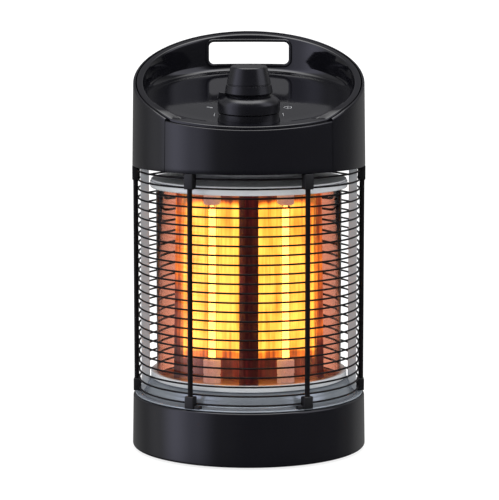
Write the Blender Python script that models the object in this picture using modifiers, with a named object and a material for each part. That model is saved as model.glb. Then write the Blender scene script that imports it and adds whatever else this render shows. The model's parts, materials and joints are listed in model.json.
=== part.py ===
"""Round tabletop patio heater: four quartz lamps in a glass tube, inside a wire guard.

Units are metres and +Z is up.  The front is -Y.  The origin is the centre of the
circle that the four rubber feet stand on.
"""

import math

import bmesh
import bpy
from mathutils import Matrix, Vector

MM = 0.001
GAP = 0.3 * MM                  # left between two pieces that touch
OBJECT = "patio_heater"

# ---- driving sizes -------------------------------------------------------------
FOOT_R = 9 * MM
FOOT_STEM_R = 6 * MM
FOOT_EDGE = 0.6 * MM
FOOT_HEIGHT = 8 * MM
FOOT_SHOWING = 2 * MM           # how far the base is held off the table
FOOT_INSET = 29.8 * MM          # feet and cover screws inside the base's edge

BASE_R_TOP = 140.8 * MM
BASE_FLARE = 1 * MM             # the drum is this much wider at the bottom
BASE_HEIGHT = 64.5 * MM         # height of the drum itself
BASE_CORNER = 3 * MM
BASE_HOLE_INSET = 30 * MM       # opening in the drum's top, inside the lamp plates' edge
WALL = 3 * MM                   # moulded walls
COVER_THICK = 3 * MM
COVER_CLEAR = 0.5 * MM          # bottom cover inside the drum's wall
SHEET = 1 * MM                  # sheet-metal parts
INLET_R = 7 * MM
INLET_BORE_R = 3.6 * MM
INLET_FLANGE = 2 * MM
INLET_FLANGE_WIDTH = 3 * MM
INLET_EDGE = 0.8 * MM
INLET_UP = 22 * MM
INLET_IN = 14 * MM              # start of the bushing, inside the drum's edge
INLET_SHY = 3.5 * MM            # end of the bushing, inside the drum's edge

GUARD_INSET = 7.4 * MM          # ring wire's centre inside the drum's edge
RING_WIRE = 2.3 * MM
RING_COUNT = 25
RING_PITCH = 11 * MM
RING_SEGMENTS = 24              # a corner of the ring falls on every rod
FIRST_RING_UP = 7.5 * MM        # lowest ring above the drum's top
ROD_WIRE = 6 * MM
ROD_OVERLAP = 0.9 * MM          # rods are welded this deep into the rings
ROD_ANGLES = (30, 90, 150, 210, 270, 330)   # degrees round from the front

GLASS_INSET = 21.4 * MM         # glass inside the guard's rings
GLASS_WALL = 4 * MM
COLLAR_WIDTH = 7 * MM           # how far a collar stands out from the glass
COLLAR_HEIGHT = 8 * MM
COLLAR_UP = 20.5 * MM           # lower collar above the drum's top
CAP_ROOM = 18.4 * MM            # upper collar below the housing
PLATE_CLEAR = 0.8 * MM          # lamp plates to the glass
COLLAR_EDGE = 1 * MM
DISH_INSET = 2.4 * MM           # dish's edge inside the drum's edge
DISH_LAP = 0.5 * MM             # dish's top edge outside the glass
DISH_STEP = 9 * MM              # height of the dish's lower, steeper part
DISH_SPREAD = 5 * MM            # how far that part starts outside the collar
DISH_CLEAR = 1.5 * MM           # dish's bend to the clips
PEDESTAL_INSET = 4 * MM         # pedestal inside the lamp plates' edge
NECK_R = 66 * MM
CAP_SHOULDER = 0.42             # share of the cap's height that its cone takes

LAMP_RING_R = 62 * MM
LAMP_TUBE_R = 5.7 * MM
LAMP_END_R = 10.3 * MM
LAMP_END_LENGTH = 27 * MM
LAMP_END_CHAMFER = 1.2 * MM
LAMP_ANGLES = (45, 135, 225, 315)
LAMP_NAMES = ("front_right", "rear_right", "rear_left", "front_left")

TROUGH_CLEAR = 3 * MM           # between a trough's side and the plane midway to its neighbour
TIP_INSET = 17.2 * MM           # ridge between two reflectors, inside the lamp plates' edge
TIP_HALF = 11.3 * MM            # half the width of that ridge
RIDGE_FALL = 0.7                # how fast the ridge's faces fall back from its tip
REFLECTOR_SHEET = 0.8 * MM
CONDUIT_R = 6 * MM
CONDUIT_ABOVE = 30 * MM         # conduit above the housing's floor plate
CONDUIT_BELOW = 20 * MM         # conduit below the drum's top

POST_CLEAR = 2 * MM             # side posts to the collars
POST_TO_RING = 1.65 * MM        # side posts to the guard's rings
POST_WIDTH = 14 * MM
POST_WALL = 1.5 * MM

HOUSING_INSET = 0.4 * MM        # housing's lower edge inside the drum's edge
HOUSING_TAPER = 2.4 * MM
LINER_WALL = 8 * MM
GUARD_TO_HOUSING = 6 * MM       # top ring to the housing's lower edge
LIP_UP = 54 * MM                # front lip above the housing's lower edge
DECK_SLOPE = 0.2                # rise of the control deck from front to back
DECK_THICK = 3 * MM
DECK_FILLET = 9 * MM
BEAD = 0.4 * MM                 # raised bead round the deck's front edge
PANEL_DROP = 2.4 * MM           # front panel's top edge below the deck's edge
SEAM_ANGLE = 44.3               # front panel's two seams, degrees from the front
SEAM_GAP = 0.5 * MM
CORNER_RUN = 20 * MM            # rounded fall of the rim to the front corners
CORNER_DROP = 10 * MM
FLOOR_THICK = 2 * MM
FLOOR_CLEAR = 0.6 * MM          # floor plate to the housing's wall
HOUSING_EDGE = 1 * MM           # bevel of the housing's lower edge

SLOT_WIDTH = 101 * MM
SLOT_HEIGHT = 28.6 * MM
SLOT_CORNER = 6.5 * MM
SLOT_SILL = 7.8 * MM            # slot above the deck's back edge
HANDLE_DEPTH = 13 * MM          # material over the slot

KNOB_Y = -83 * MM
KNOB_TILT = 5.5                 # degrees that the knob's axis leans to the front
KNOB_SKIRT_R = 36.4 * MM
KNOB_SKIRT_HEIGHT = 18.5 * MM
KNOB_SHOULDER = 7 * MM
KNOB_EDGE = 3 * MM              # rounding of the grip's top
KNOB_WAIST = 3 * MM             # undercut below the grip
KNOB_GRIP_R_LOW = 28 * MM
KNOB_GRIP_R_TOP = 21.5 * MM
KNOB_HEIGHT = 53 * MM
KNOB_LIFT = 0.8 * MM            # knob above its seat
SEAT_INSET = 1 * MM             # seat's edge inside the knob's skirt
SEAT_SHOWING = 0.4 * MM         # seat above the deck at its rear edge
POINTER_ANGLE = 285             # degrees round from the front, seen from above
POINTER_WIDTH = 3 * MM
POINTER_RISE = 1.5 * MM         # pointer above the skirt's shoulder
SHAFT_R = 3 * MM
SHAFT_CLEAR = 0.4 * MM
DECK_HOLE_CLEAR = 1.4 * MM      # hole in the deck round the shaft
SHAFT_IN_KNOB = 24 * MM
SHAFT_IN_SWITCH = 10 * MM
SWITCH_TOP = 12.5 * MM          # switch below the seat, clear of the deck's underside
SWITCH_SIZE = 30 * MM
SWITCH_DEPTH = 18 * MM

CLIP_WIDTH = 12 * MM
CLIP_HEIGHT_TOP = 18 * MM
CLIP_HEIGHT_LOW = 14.6 * MM
CLIP_DEPTH = 9 * MM
CLIP_LUG = 7 * MM               # lug that reaches sideways from a lower clip
CLIP_LUG_HEIGHT = 4 * MM
CLIP_LUG_SETBACK = 2 * MM
LUG_ANGLES = {30: -1, 150: 1, 210: -1, 330: 1}   # clips with a lug, and its side
CLIP_SHIFT = 0.6 * MM           # clips sit this far inward of their rods

SCREW_HEAD_R = 3.2 * MM
SCREW_HEAD = 2.2 * MM
SCREW_R = 1.6 * MM
SCREW_LENGTH = 8 * MM

TERMINAL_LOW = (-70 * MM, 20 * MM)   # terminal block's front left corner in plan
TERMINAL_SIZE = (40 * MM, 18 * MM, 16 * MM)
TILT_BOX = (30 * MM, 22 * MM, 30 * MM)
TILT_X = 55 * MM
TILT_WALL = 2 * MM
PIVOT_DROP = 5 * MM             # pendulum's pin below the case's ceiling
PENDULUM_LENGTH = 15 * MM
PENDULUM_EYE_HALF = 2 * MM
PENDULUM_BOB_R = 4 * MM
PENDULUM_ROD_R = 1.2 * MM
PENDULUM_CLEAR = 0.05 * MM      # running fit of the pendulum on its pin

ROUND_SEGMENTS = 48

# ---- heights and places worked out from them ------------------------------------
BASE_R_BOTTOM = BASE_R_TOP + BASE_FLARE
FOOT_RING_R = BASE_R_BOTTOM - FOOT_INSET
BASE_Z = FOOT_SHOWING
BASE_TOP = BASE_Z + BASE_HEIGHT
GUARD_RING_R = BASE_R_TOP - GUARD_INSET
GUARD_LOW = BASE_TOP + FIRST_RING_UP
GUARD_TOP = GUARD_LOW + (RING_COUNT - 1) * RING_PITCH
ROD_R = ROD_WIRE / 2
ROD_RING_R = GUARD_RING_R + RING_WIRE / 2 + ROD_R - ROD_OVERLAP
HOUSING_Z = GUARD_TOP + GUARD_TO_HOUSING
HOUSING_R_BOTTOM = BASE_R_TOP - HOUSING_INSET
HOUSING_R_TOP = HOUSING_R_BOTTOM - HOUSING_TAPER
NECK_TOP = HOUSING_Z + FLOOR_THICK
LIP_Z = HOUSING_Z + LIP_UP
LINER_R = HOUSING_R_TOP - WALL - GAP
BOWL_R = LINER_R - LINER_WALL
GLASS_R = GUARD_RING_R - GLASS_INSET
COLLAR_R = GLASS_R + COLLAR_WIDTH
COLLAR_Z = BASE_TOP + COLLAR_UP
UPPER_COLLAR_TOP = HOUSING_Z - CAP_ROOM
GLASS_Z = COLLAR_Z + SHEET + GAP
GLASS_TOP = UPPER_COLLAR_TOP - SHEET - GAP
PLATE_R = GLASS_R - GLASS_WALL - PLATE_CLEAR
TIP_R = PLATE_R - TIP_INSET
LOWER_PLATE_Z = GLASS_Z + GAP
UPPER_PLATE_Z = GLASS_TOP - SHEET - GAP
POST_INNER = COLLAR_R + POST_CLEAR
POST_DEPTH = GUARD_RING_R - RING_WIRE / 2 - POST_TO_RING - POST_INNER


def clear_scene():
    """Remove every object, so the file holds only this part."""
    for old in list(bpy.data.objects):
        bpy.data.objects.remove(old, do_unlink=True)


def make_collection(name):
    """Make a collection and link it into the scene."""
    made = bpy.data.collections.new(name)
    bpy.context.scene.collection.children.link(made)
    return made


clear_scene()
PARTS = make_collection(OBJECT)
CUTTERS = make_collection("cutters")


def make_material(name, color, roughness, metallic=0.0):
    """Make a Principled material."""
    made = bpy.data.materials.new(name)
    made.use_nodes = True
    shader = made.node_tree.nodes["Principled BSDF"]
    shader.inputs["Base Color"].default_value = (*color, 1.0)
    shader.inputs["Roughness"].default_value = roughness
    shader.inputs["Metallic"].default_value = metallic
    return made


GLOSS_BLACK = make_material("gloss_black_plastic", (0.010, 0.010, 0.012), 0.18)
SATIN_BLACK = make_material("satin_black_plastic", (0.012, 0.012, 0.013), 0.45)
BLACK_WIRE = make_material("black_coated_wire", (0.012, 0.014, 0.016), 0.40, 0.3)
RUBBER = make_material("rubber", (0.02, 0.02, 0.02), 0.85)
POLISHED = make_material("polished_aluminium", (0.85, 0.86, 0.88), 0.12, 1.0)
STEEL = make_material("brushed_steel", (0.62, 0.64, 0.67), 0.30, 1.0)
GLASS = make_material("glass", (0.95, 0.97, 0.98), 0.03)
LAMP = make_material("quartz_lamp", (1.0, 0.75, 0.30), 0.20)
CERAMIC = make_material("phenolic", (0.75, 0.72, 0.68), 0.60)


# ---- modelling helpers ------------------------------------------------------------
def add_object(name, mesh, material, group=PARTS):
    """Make an object of a mesh, give it its material and link it."""
    made = bpy.data.objects.new(name, mesh)
    if material is not None:
        mesh.materials.append(material)
    group.objects.link(made)
    return made


def as_cutter(obj):
    """Keep an object as a guide that the build leaves out."""
    obj.hide_render = True
    obj.display_type = "WIRE"
    return obj


def smooth(obj, degrees=35):
    """Shade the round faces smooth and keep real corners sharp."""
    obj.data.shade_smooth()
    obj.data.set_sharp_from_angle(angle=math.radians(degrees))


def turned(name, profile, material, group=PARTS, segments=ROUND_SEGMENTS, closed=True):
    """Turn a profile of (radius, height) points round Z.

    The points run down the outer side first.  A closed profile is a ring-shaped
    section; an open one starts and ends on the axis.
    """
    mesh = bpy.data.meshes.new(name)
    points = [(radius, 0.0, height) for radius, height in profile]
    edges = [(i, i + 1) for i in range(len(points) - 1)]
    if closed:
        edges.append((len(points) - 1, 0))
    mesh.from_pydata(points, edges, [])
    made = add_object(name, mesh, material, group)
    screw = made.modifiers.new("turn", "SCREW")
    screw.steps = segments
    screw.render_steps = segments
    screw.use_merge_vertices = True
    screw.merge_threshold = 0.00001
    screw.use_smooth_shade = True
    return made


def block(name, low, high, material, group=PARTS, bevel=0.0):
    """Make a box between two corners, its edges rounded by bevel."""
    mesh = bpy.data.meshes.new(name)
    box = bmesh.new()
    bmesh.ops.create_cube(box, size=1.0)
    size = Vector(high) - Vector(low)
    centre = (Vector(high) + Vector(low)) / 2
    bmesh.ops.scale(box, vec=size, verts=box.verts)
    bmesh.ops.translate(box, vec=centre, verts=box.verts)
    box.to_mesh(mesh)
    box.free()
    made = add_object(name, mesh, material, group)
    if bevel:
        edge = made.modifiers.new("edges", "BEVEL")
        edge.width = bevel
        edge.segments = 2
    return made


def drum(name, radius, low, high, material, group=PARTS, segments=24):
    """Make a plain upright cylinder between two points of its axis."""
    mesh = bpy.data.meshes.new(name)
    solid = bmesh.new()
    axis = Vector(high) - Vector(low)
    bmesh.ops.create_cone(solid, cap_ends=True, segments=segments, radius1=radius,
                          radius2=radius, depth=axis.length)
    turn = Vector((0, 0, 1)).rotation_difference(axis).to_matrix().to_4x4()
    place = Matrix.Translation((Vector(high) + Vector(low)) / 2) @ turn
    bmesh.ops.transform(solid, matrix=place, verts=solid.verts)
    solid.to_mesh(mesh)
    solid.free()
    made = add_object(name, mesh, material, group)
    smooth(made)
    return made


def side_prism(name, outline, half_width, group=CUTTERS):
    """Extrude an outline of (y, z) points along X, to both sides of the middle."""
    mesh = bpy.data.meshes.new(name)
    solid = bmesh.new()
    verts = [solid.verts.new((-half_width, y, z)) for y, z in outline]
    face = solid.faces.new(verts)
    grown = bmesh.ops.extrude_face_region(solid, geom=[face])
    moved = [item for item in grown["geom"] if isinstance(item, bmesh.types.BMVert)]
    bmesh.ops.translate(solid, vec=(2 * half_width, 0, 0), verts=moved)
    bmesh.ops.recalc_face_normals(solid, faces=solid.faces)
    solid.to_mesh(mesh)
    solid.free()
    return add_object(name, mesh, None, group)


def plan_prism(name, outline, low, high, group=CUTTERS):
    """Extrude an outline of (x, y) points from one height to another."""
    mesh = bpy.data.meshes.new(name)
    solid = bmesh.new()
    face = solid.faces.new([solid.verts.new((x, y, low)) for x, y in outline])
    grown = bmesh.ops.extrude_face_region(solid, geom=[face])
    moved = [item for item in grown["geom"] if isinstance(item, bmesh.types.BMVert)]
    bmesh.ops.translate(solid, vec=(0, 0, high - low), verts=moved)
    bmesh.ops.recalc_face_normals(solid, faces=solid.faces)
    solid.to_mesh(mesh)
    solid.free()
    return add_object(name, mesh, None, group)


def combine(obj, other, operation):
    """Cut, join or intersect an object with another, by a Boolean modifier."""
    step = obj.modifiers.new(f"{operation.lower()}_{other.name}", "BOOLEAN")
    step.operation = operation
    step.object = other
    step.solver = "EXACT"
    if other.name not in PARTS.objects:
        as_cutter(other)
    return obj


def around(radius, degrees, height=0.0):
    """A point at an angle round from the front (-Y), towards +X."""
    turn = math.radians(degrees)
    return Vector((radius * math.sin(turn), -radius * math.cos(turn), height))


def spin(obj, degrees):
    """Turn an object about the heater's axis, from the front towards +X."""
    obj.matrix_world = Matrix.Rotation(math.radians(degrees), 4, "Z") @ obj.matrix_world
    return obj


def arc(centre_r, centre_z, radius, start, end, steps):
    """Points of (radius, height) along an arc; angles in degrees from +R."""
    turns = [math.radians(start + (end - start) * i / steps) for i in range(steps + 1)]
    return [(centre_r + radius * math.cos(t), centre_z + radius * math.sin(t)) for t in turns]


# ---- shape of the control deck and of the rim -----------------------------------------
def deck_height(y):
    """Height of the control deck's upper face at a distance y from the middle."""
    return LIP_Z + DECK_SLOPE * (y + HOUSING_R_TOP)


CORNER_Y = -HOUSING_R_TOP * math.cos(math.radians(SEAM_ANGLE))
RIM_Z = deck_height(BOWL_R) + SLOT_SILL + SLOT_HEIGHT + HANDLE_DEPTH
RIM_FRONT_Y = CORNER_Y + CORNER_RUN
RIM_FRONT_Z = deck_height(CORNER_Y) + BEAD + CORNER_DROP
RIM_SLOPE = (RIM_Z - RIM_FRONT_Z) / (HOUSING_R_TOP - RIM_FRONT_Y)


def rim_line(y):
    """Height of the straight part of the rim at y."""
    return RIM_FRONT_Z + RIM_SLOPE * (y - RIM_FRONT_Y)


REACH = BASE_R_BOTTOM + 20 * MM  # cutters run this far from the middle
REAR_REACH = BASE_R_BOTTOM + 10 * MM
TOP_REACH = RIM_Z + 60 * MM


def rim_points(steps=8):
    """The rim seen from the side, as (y, z) points from the back to the front."""
    points = [(REAR_REACH, rim_line(REAR_REACH))]
    for i in range(steps + 1):
        turn = math.radians(90 * i / steps)
        y = RIM_FRONT_Y - CORNER_RUN * math.sin(turn)
        drop = rim_line(y) - deck_height(CORNER_Y) - BEAD
        points.append((y, rim_line(y) - drop * (1 - math.cos(turn))))
    for i in range(1, steps + 1):
        y = CORNER_Y - (REACH + CORNER_Y) * i / steps
        points.append((y, deck_height(y) + BEAD))
    return points


def above_rim():
    """Everything above the rim, as a cutter."""
    outline = rim_points() + [(-REACH, TOP_REACH), (REAR_REACH, TOP_REACH)]
    return side_prism("above_rim", outline, REACH)


def under_deck(name, drop):
    """Everything lower than the deck's upper face less a drop, as a cutter."""
    steps = 16
    ys = [-REACH + (REACH + REAR_REACH) * i / steps for i in range(steps + 1)]
    outline = [(y, deck_height(y) - drop) for y in ys]
    outline += [(REAR_REACH, HOUSING_Z - DECK_FILLET), (-REACH, HOUSING_Z - DECK_FILLET)]
    return side_prism(name, outline, REACH)


def bowl_cutter():
    """The open space over the deck: round, with a floor that follows the deck."""
    fillet_steps = 4
    spokes = ROUND_SEGMENTS
    flat_r = BOWL_R - DECK_FILLET
    levels = [(flat_r * share, 0.0) for share in (0.35, 0.7, 1.0)]
    for i in range(1, fillet_steps + 1):
        turn = math.radians(90 * i / fillet_steps)
        levels.append((flat_r + DECK_FILLET * math.sin(turn), DECK_FILLET * (1 - math.cos(turn))))
    mesh = bpy.data.meshes.new("bowl")
    solid = bmesh.new()
    rings = []
    for radius, lift in levels:
        ring = []
        for k in range(spokes):
            spot = around(radius, 360 * (k + 0.5) / spokes)
            ring.append(solid.verts.new((spot.x, spot.y, deck_height(spot.y) + lift)))
        rings.append(ring)
    top = [solid.verts.new((vert.co.x, vert.co.y, TOP_REACH)) for vert in rings[-1]]
    rings.append(top)
    hub = solid.verts.new((0, 0, deck_height(0)))
    for k in range(spokes):
        solid.faces.new((hub, rings[0][k], rings[0][(k + 1) % spokes]))
    for inner, outer in zip(rings, rings[1:]):
        for k in range(spokes):
            after = (k + 1) % spokes
            solid.faces.new((inner[k], outer[k], outer[after], inner[after]))
    solid.faces.new(top)
    bmesh.ops.recalc_face_normals(solid, faces=solid.faces)
    solid.to_mesh(mesh)
    solid.free()
    return add_object("bowl", mesh, None, CUTTERS)


def front_sector(name, half_angle):
    """A wedge over the front, as a cutter for the front panel and the housing."""
    turn = math.radians(half_angle)
    side = REACH * math.tan(turn)
    outline = [(0, 0), (side, -REACH), (-side, -REACH)]
    return plan_prism(name, outline, HOUSING_Z - DECK_FILLET, TOP_REACH)


def handle_slot():
    """A rounded slot through the back of the housing."""
    half_w = SLOT_WIDTH / 2 - SLOT_CORNER
    half_h = SLOT_HEIGHT / 2 - SLOT_CORNER
    centre_z = RIM_Z - HANDLE_DEPTH - SLOT_HEIGHT / 2
    mesh = bpy.data.meshes.new("handle_slot")
    solid = bmesh.new()
    verts = []
    for quarter, (sx, sz) in enumerate(((1, 1), (-1, 1), (-1, -1), (1, -1))):
        for i in range(7):
            turn = math.radians(90 * quarter + 15 * i)
            x = sx * half_w + SLOT_CORNER * math.cos(turn)
            z = centre_z + sz * half_h + SLOT_CORNER * math.sin(turn)
            verts.append(solid.verts.new((x, BOWL_R / 2, z)))
    face = solid.faces.new(verts)
    grown = bmesh.ops.extrude_face_region(solid, geom=[face])
    moved = [item for item in grown["geom"] if isinstance(item, bmesh.types.BMVert)]
    bmesh.ops.translate(solid, vec=(0, REACH - BOWL_R / 2, 0), verts=moved)
    bmesh.ops.recalc_face_normals(solid, faces=solid.faces)
    solid.to_mesh(mesh)
    solid.free()
    return add_object("handle_slot", mesh, None, CUTTERS)


# ---- base -----------------------------------------------------------------------------
def make_base():
    """Drum-shaped base with its bottom cover, feet, screws and cable inlet."""
    inner_bottom = BASE_R_BOTTOM - WALL
    inner_top = BASE_R_TOP - WALL
    hole_r = PLATE_R - BASE_HOLE_INSET
    profile = [(hole_r, BASE_TOP)]
    profile += arc(BASE_R_TOP - BASE_CORNER, BASE_TOP - BASE_CORNER, BASE_CORNER, 90, 0, 3)
    profile += arc(BASE_R_BOTTOM - BASE_CORNER, BASE_Z + BASE_CORNER, BASE_CORNER, 0, -90, 3)
    profile += [(inner_bottom, BASE_Z), (inner_top, BASE_TOP - WALL), (hole_r, BASE_TOP - WALL)]
    shell = turned("base_shell", profile, GLOSS_BLACK)
    inlet_hole = drum("inlet_hole", INLET_R + GAP, (0, INLET_INSIDE, INLET_Z),
                      (0, REACH, INLET_Z), None, CUTTERS)
    combine(shell, inlet_hole, "DIFFERENCE")

    cover_r = inner_bottom - COVER_CLEAR
    cover = drum("base_cover", cover_r, (0, 0, BASE_Z), (0, 0, BASE_Z + COVER_THICK),
                 SATIN_BLACK, segments=ROUND_SEGMENTS)
    for k in range(4):
        foot_spot = around(FOOT_RING_R, 45 + 90 * k)
        make_foot(k + 1, foot_spot)
        combine(cover, drum(f"foot_hole_{k + 1}", FOOT_STEM_R + GAP,
                            foot_spot, foot_spot + Vector((0, 0, FOOT_HEIGHT)), None, CUTTERS,
                            16), "DIFFERENCE")
        screw_spot = around(FOOT_RING_R, 90 * k + 20)
        make_screw(f"cover_screw_{k + 1}", screw_spot + Vector((0, 0, BASE_Z + COVER_THICK / 2)),
                   (0, 0, -1))
        combine(cover, drum(f"cover_screw_hole_{k + 1}", SCREW_HEAD_R + GAP, screw_spot,
                            screw_spot + Vector((0, 0, BASE_Z + COVER_THICK / 2 + GAP)),
                            None, CUTTERS, 12), "DIFFERENCE")
        combine(cover, drum(f"cover_thread_hole_{k + 1}", SCREW_R + GAP, screw_spot,
                            screw_spot + Vector((0, 0, BASE_Z + 2 * COVER_THICK)),
                            None, CUTTERS, 12), "DIFFERENCE")


def make_foot(number, spot):
    """A rubber foot: a pad under the cover with a stem through it."""
    pad_top = BASE_Z - GAP
    profile = [(0, FOOT_HEIGHT - GAP), (FOOT_STEM_R, FOOT_HEIGHT - GAP), (FOOT_STEM_R, pad_top),
               (FOOT_R, pad_top), (FOOT_R, FOOT_EDGE), (FOOT_R - FOOT_EDGE, 0), (0, 0)]
    foot = turned(f"rubber_foot_{number}", profile, RUBBER, segments=16, closed=False)
    foot.location = spot


def make_screw(name, seat, outward):
    """A pan-head screw; seat is where its head meets the work, outward leaves the work."""
    profile = [(0, SCREW_HEAD * 0.7), (SCREW_HEAD_R * 0.75, SCREW_HEAD * 0.65),
               (SCREW_HEAD_R, SCREW_HEAD * 0.3), (SCREW_HEAD_R, 0), (SCREW_R, 0),
               (SCREW_R, -SCREW_LENGTH), (0, -SCREW_LENGTH)]
    screw = turned(name, profile, STEEL, segments=12, closed=False)
    turn = Vector((0, 0, 1)).rotation_difference(Vector(outward))
    screw.matrix_world = Matrix.Translation(seat) @ turn.to_matrix().to_4x4()


INLET_Z = BASE_Z + INLET_UP
INLET_INSIDE = BASE_R_BOTTOM - INLET_IN
INLET_OUTSIDE = BASE_R_BOTTOM - INLET_SHY


def make_cable_inlet():
    """The bushing that a mains lead would enter by, at the back of the base."""
    flange_r = INLET_R + INLET_FLANGE_WIDTH
    length = INLET_OUTSIDE - INLET_INSIDE + WALL
    profile = [(INLET_BORE_R, length), (INLET_R - INLET_EDGE, length),
               (INLET_R, length - INLET_EDGE), (INLET_R, INLET_FLANGE),
               (flange_r, INLET_FLANGE), (flange_r, 0), (INLET_BORE_R, 0)]
    inlet = turned("cable_inlet", profile, SATIN_BLACK, segments=24)
    turn = Vector((0, 0, 1)).rotation_difference(Vector((0, 1, 0)))
    place = Vector((0, INLET_INSIDE - 2 * INLET_FLANGE, INLET_Z))
    inlet.matrix_world = Matrix.Translation(place) @ turn.to_matrix().to_4x4()


def make_inner_base():
    """Terminal block and tilt switch, which sit on the bottom cover."""
    floor_z = BASE_Z + COVER_THICK + GAP
    corner = Vector((*TERMINAL_LOW, floor_z))
    block("terminal_block", corner, corner + Vector(TERMINAL_SIZE), CERAMIC, bevel=SHEET)
    size_x, size_y, size_z = TILT_BOX
    low = (TILT_X - size_x / 2, -size_y / 2, floor_z)
    high = (TILT_X + size_x / 2, size_y / 2, floor_z + size_z)
    case = block("tilt_switch_case", low, high, SATIN_BLACK)
    hollow = block("tilt_hollow", [value + TILT_WALL for value in low],
                   (high[0] - TILT_WALL, high[1] + TILT_WALL, high[2] - TILT_WALL), None, CUTTERS)
    combine(case, hollow, "DIFFERENCE")

    pivot = Vector((TILT_X, 0, floor_z + size_z - TILT_WALL - PIVOT_DROP))
    profile = [(0, PENDULUM_ROD_R * 2), (PENDULUM_ROD_R, PENDULUM_ROD_R),
               (PENDULUM_ROD_R, -PENDULUM_LENGTH + PENDULUM_BOB_R)]
    profile += arc(0, -PENDULUM_LENGTH, PENDULUM_BOB_R, 60, -90, 6)
    profile[-1] = (0, -PENDULUM_LENGTH - PENDULUM_BOB_R)
    pendulum = turned("tilt_pendulum", profile, STEEL, segments=16, closed=False)
    pendulum.location = pivot
    half = Vector((0, PENDULUM_EYE_HALF, 0))
    eye = drum("pendulum_eye", PENDULUM_ROD_R * 2, -half, half, None, CUTTERS)
    eye.location = pivot
    combine(pendulum, eye, "UNION")
    bore = drum("pendulum_bore", PENDULUM_ROD_R, -2 * half, 2 * half, None, CUTTERS, 12)
    bore.location = pivot
    combine(pendulum, bore, "DIFFERENCE")
    drum("pendulum_pin", PENDULUM_ROD_R - PENDULUM_CLEAR,
         pivot - Vector((0, size_y / 2 - TILT_WALL - GAP, 0)),
         pivot + Vector((0, size_y / 2 - GAP, 0)), STEEL, segments=12)


# ---- heating chamber --------------------------------------------------------------------
def make_chamber():
    """Dish, pedestal, glass, collars, lamp plates and cap of the heating chamber."""
    dish_r = BASE_R_TOP - DISH_INSET
    dish_z = BASE_TOP + GAP
    flange_r = ROD_RING_R - CLIP_DEPTH / 2 - CLIP_SHIFT - DISH_CLEAR
    top_r = GLASS_R + DISH_LAP
    bend_r = COLLAR_R + DISH_SPREAD
    bend_z = dish_z + DISH_STEP
    outer = [(top_r, COLLAR_Z - GAP), (COLLAR_R, COLLAR_Z - GAP - 2 * SHEET),
             (bend_r, bend_z), (flange_r, dish_z + SHEET),
             (dish_r, dish_z + SHEET), (dish_r, dish_z)]
    inner = [(flange_r - SHEET / 2, dish_z), (bend_r - 0.8 * SHEET, bend_z - SHEET),
             (COLLAR_R - SHEET, COLLAR_Z - GAP - 2.6 * SHEET), (top_r, COLLAR_Z - GAP - SHEET)]
    dish = turned("lower_dish", outer + inner, STEEL)
    for side in (-1, 1):
        combine(dish, post_clearance(f"dish_notch_{side + 1}", side), "DIFFERENCE")

    pedestal_r = PLATE_R - PEDESTAL_INSET
    pedestal = [(pedestal_r, LOWER_PLATE_Z - GAP), (pedestal_r, BASE_TOP + GAP),
                (pedestal_r - SHEET, BASE_TOP + GAP), (pedestal_r - SHEET, LOWER_PLATE_Z - GAP)]
    turned("lamp_pedestal", pedestal, STEEL)

    collar_in = GLASS_R + GAP
    ledge_in = GLASS_R - GLASS_WALL + GAP
    low, high = COLLAR_Z, COLLAR_Z + COLLAR_HEIGHT
    turned("lower_glass_collar",
           [(collar_in, high), (COLLAR_R, high - COLLAR_EDGE), (COLLAR_R, low), (ledge_in, low),
            (ledge_in, low + SHEET), (collar_in, low + SHEET)], POLISHED)
    low, high = UPPER_COLLAR_TOP - COLLAR_HEIGHT, UPPER_COLLAR_TOP
    turned("upper_glass_collar",
           [(ledge_in, high), (COLLAR_R, high), (COLLAR_R, low + COLLAR_EDGE), (collar_in, low),
            (collar_in, high - SHEET), (ledge_in, high - SHEET)], POLISHED)
    turned("glass_cylinder",
           [(GLASS_R, GLASS_TOP), (GLASS_R, GLASS_Z), (GLASS_R - GLASS_WALL, GLASS_Z),
            (GLASS_R - GLASS_WALL, GLASS_TOP)], GLASS)

    for name, height in (("lower_lamp_plate", LOWER_PLATE_Z), ("upper_lamp_plate", UPPER_PLATE_Z)):
        plate = drum(name, PLATE_R, (0, 0, height), (0, 0, height + SHEET), POLISHED,
                     segments=ROUND_SEGMENTS)
        wire_hole = drum(name + "_hole", CONDUIT_R + GAP, (0, 0, height - SHEET),
                         (0, 0, height + 2 * SHEET), None, CUTTERS)
        combine(plate, wire_hole, "DIFFERENCE")

    cap_low = UPPER_COLLAR_TOP + GAP
    cap_r = COLLAR_R - COLLAR_EDGE
    shoulder = (NECK_TOP - cap_low) * CAP_SHOULDER
    outer = [(NECK_R, NECK_TOP - GAP), (NECK_R, cap_low + shoulder),
             (cap_r, cap_low + SHEET), (cap_r, cap_low)]
    inner = [(NECK_R - SHEET, cap_low + shoulder - SHEET), (NECK_R - SHEET, NECK_TOP - GAP)]
    turned("upper_cap", outer + inner, POLISHED)
    high, low = NECK_TOP + CONDUIT_ABOVE, BASE_TOP - CONDUIT_BELOW
    conduit = [(CONDUIT_R, high), (CONDUIT_R, low), (CONDUIT_R - SHEET, low),
               (CONDUIT_R - SHEET, high)]
    turned("wire_conduit", conduit, STEEL, segments=16)


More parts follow.
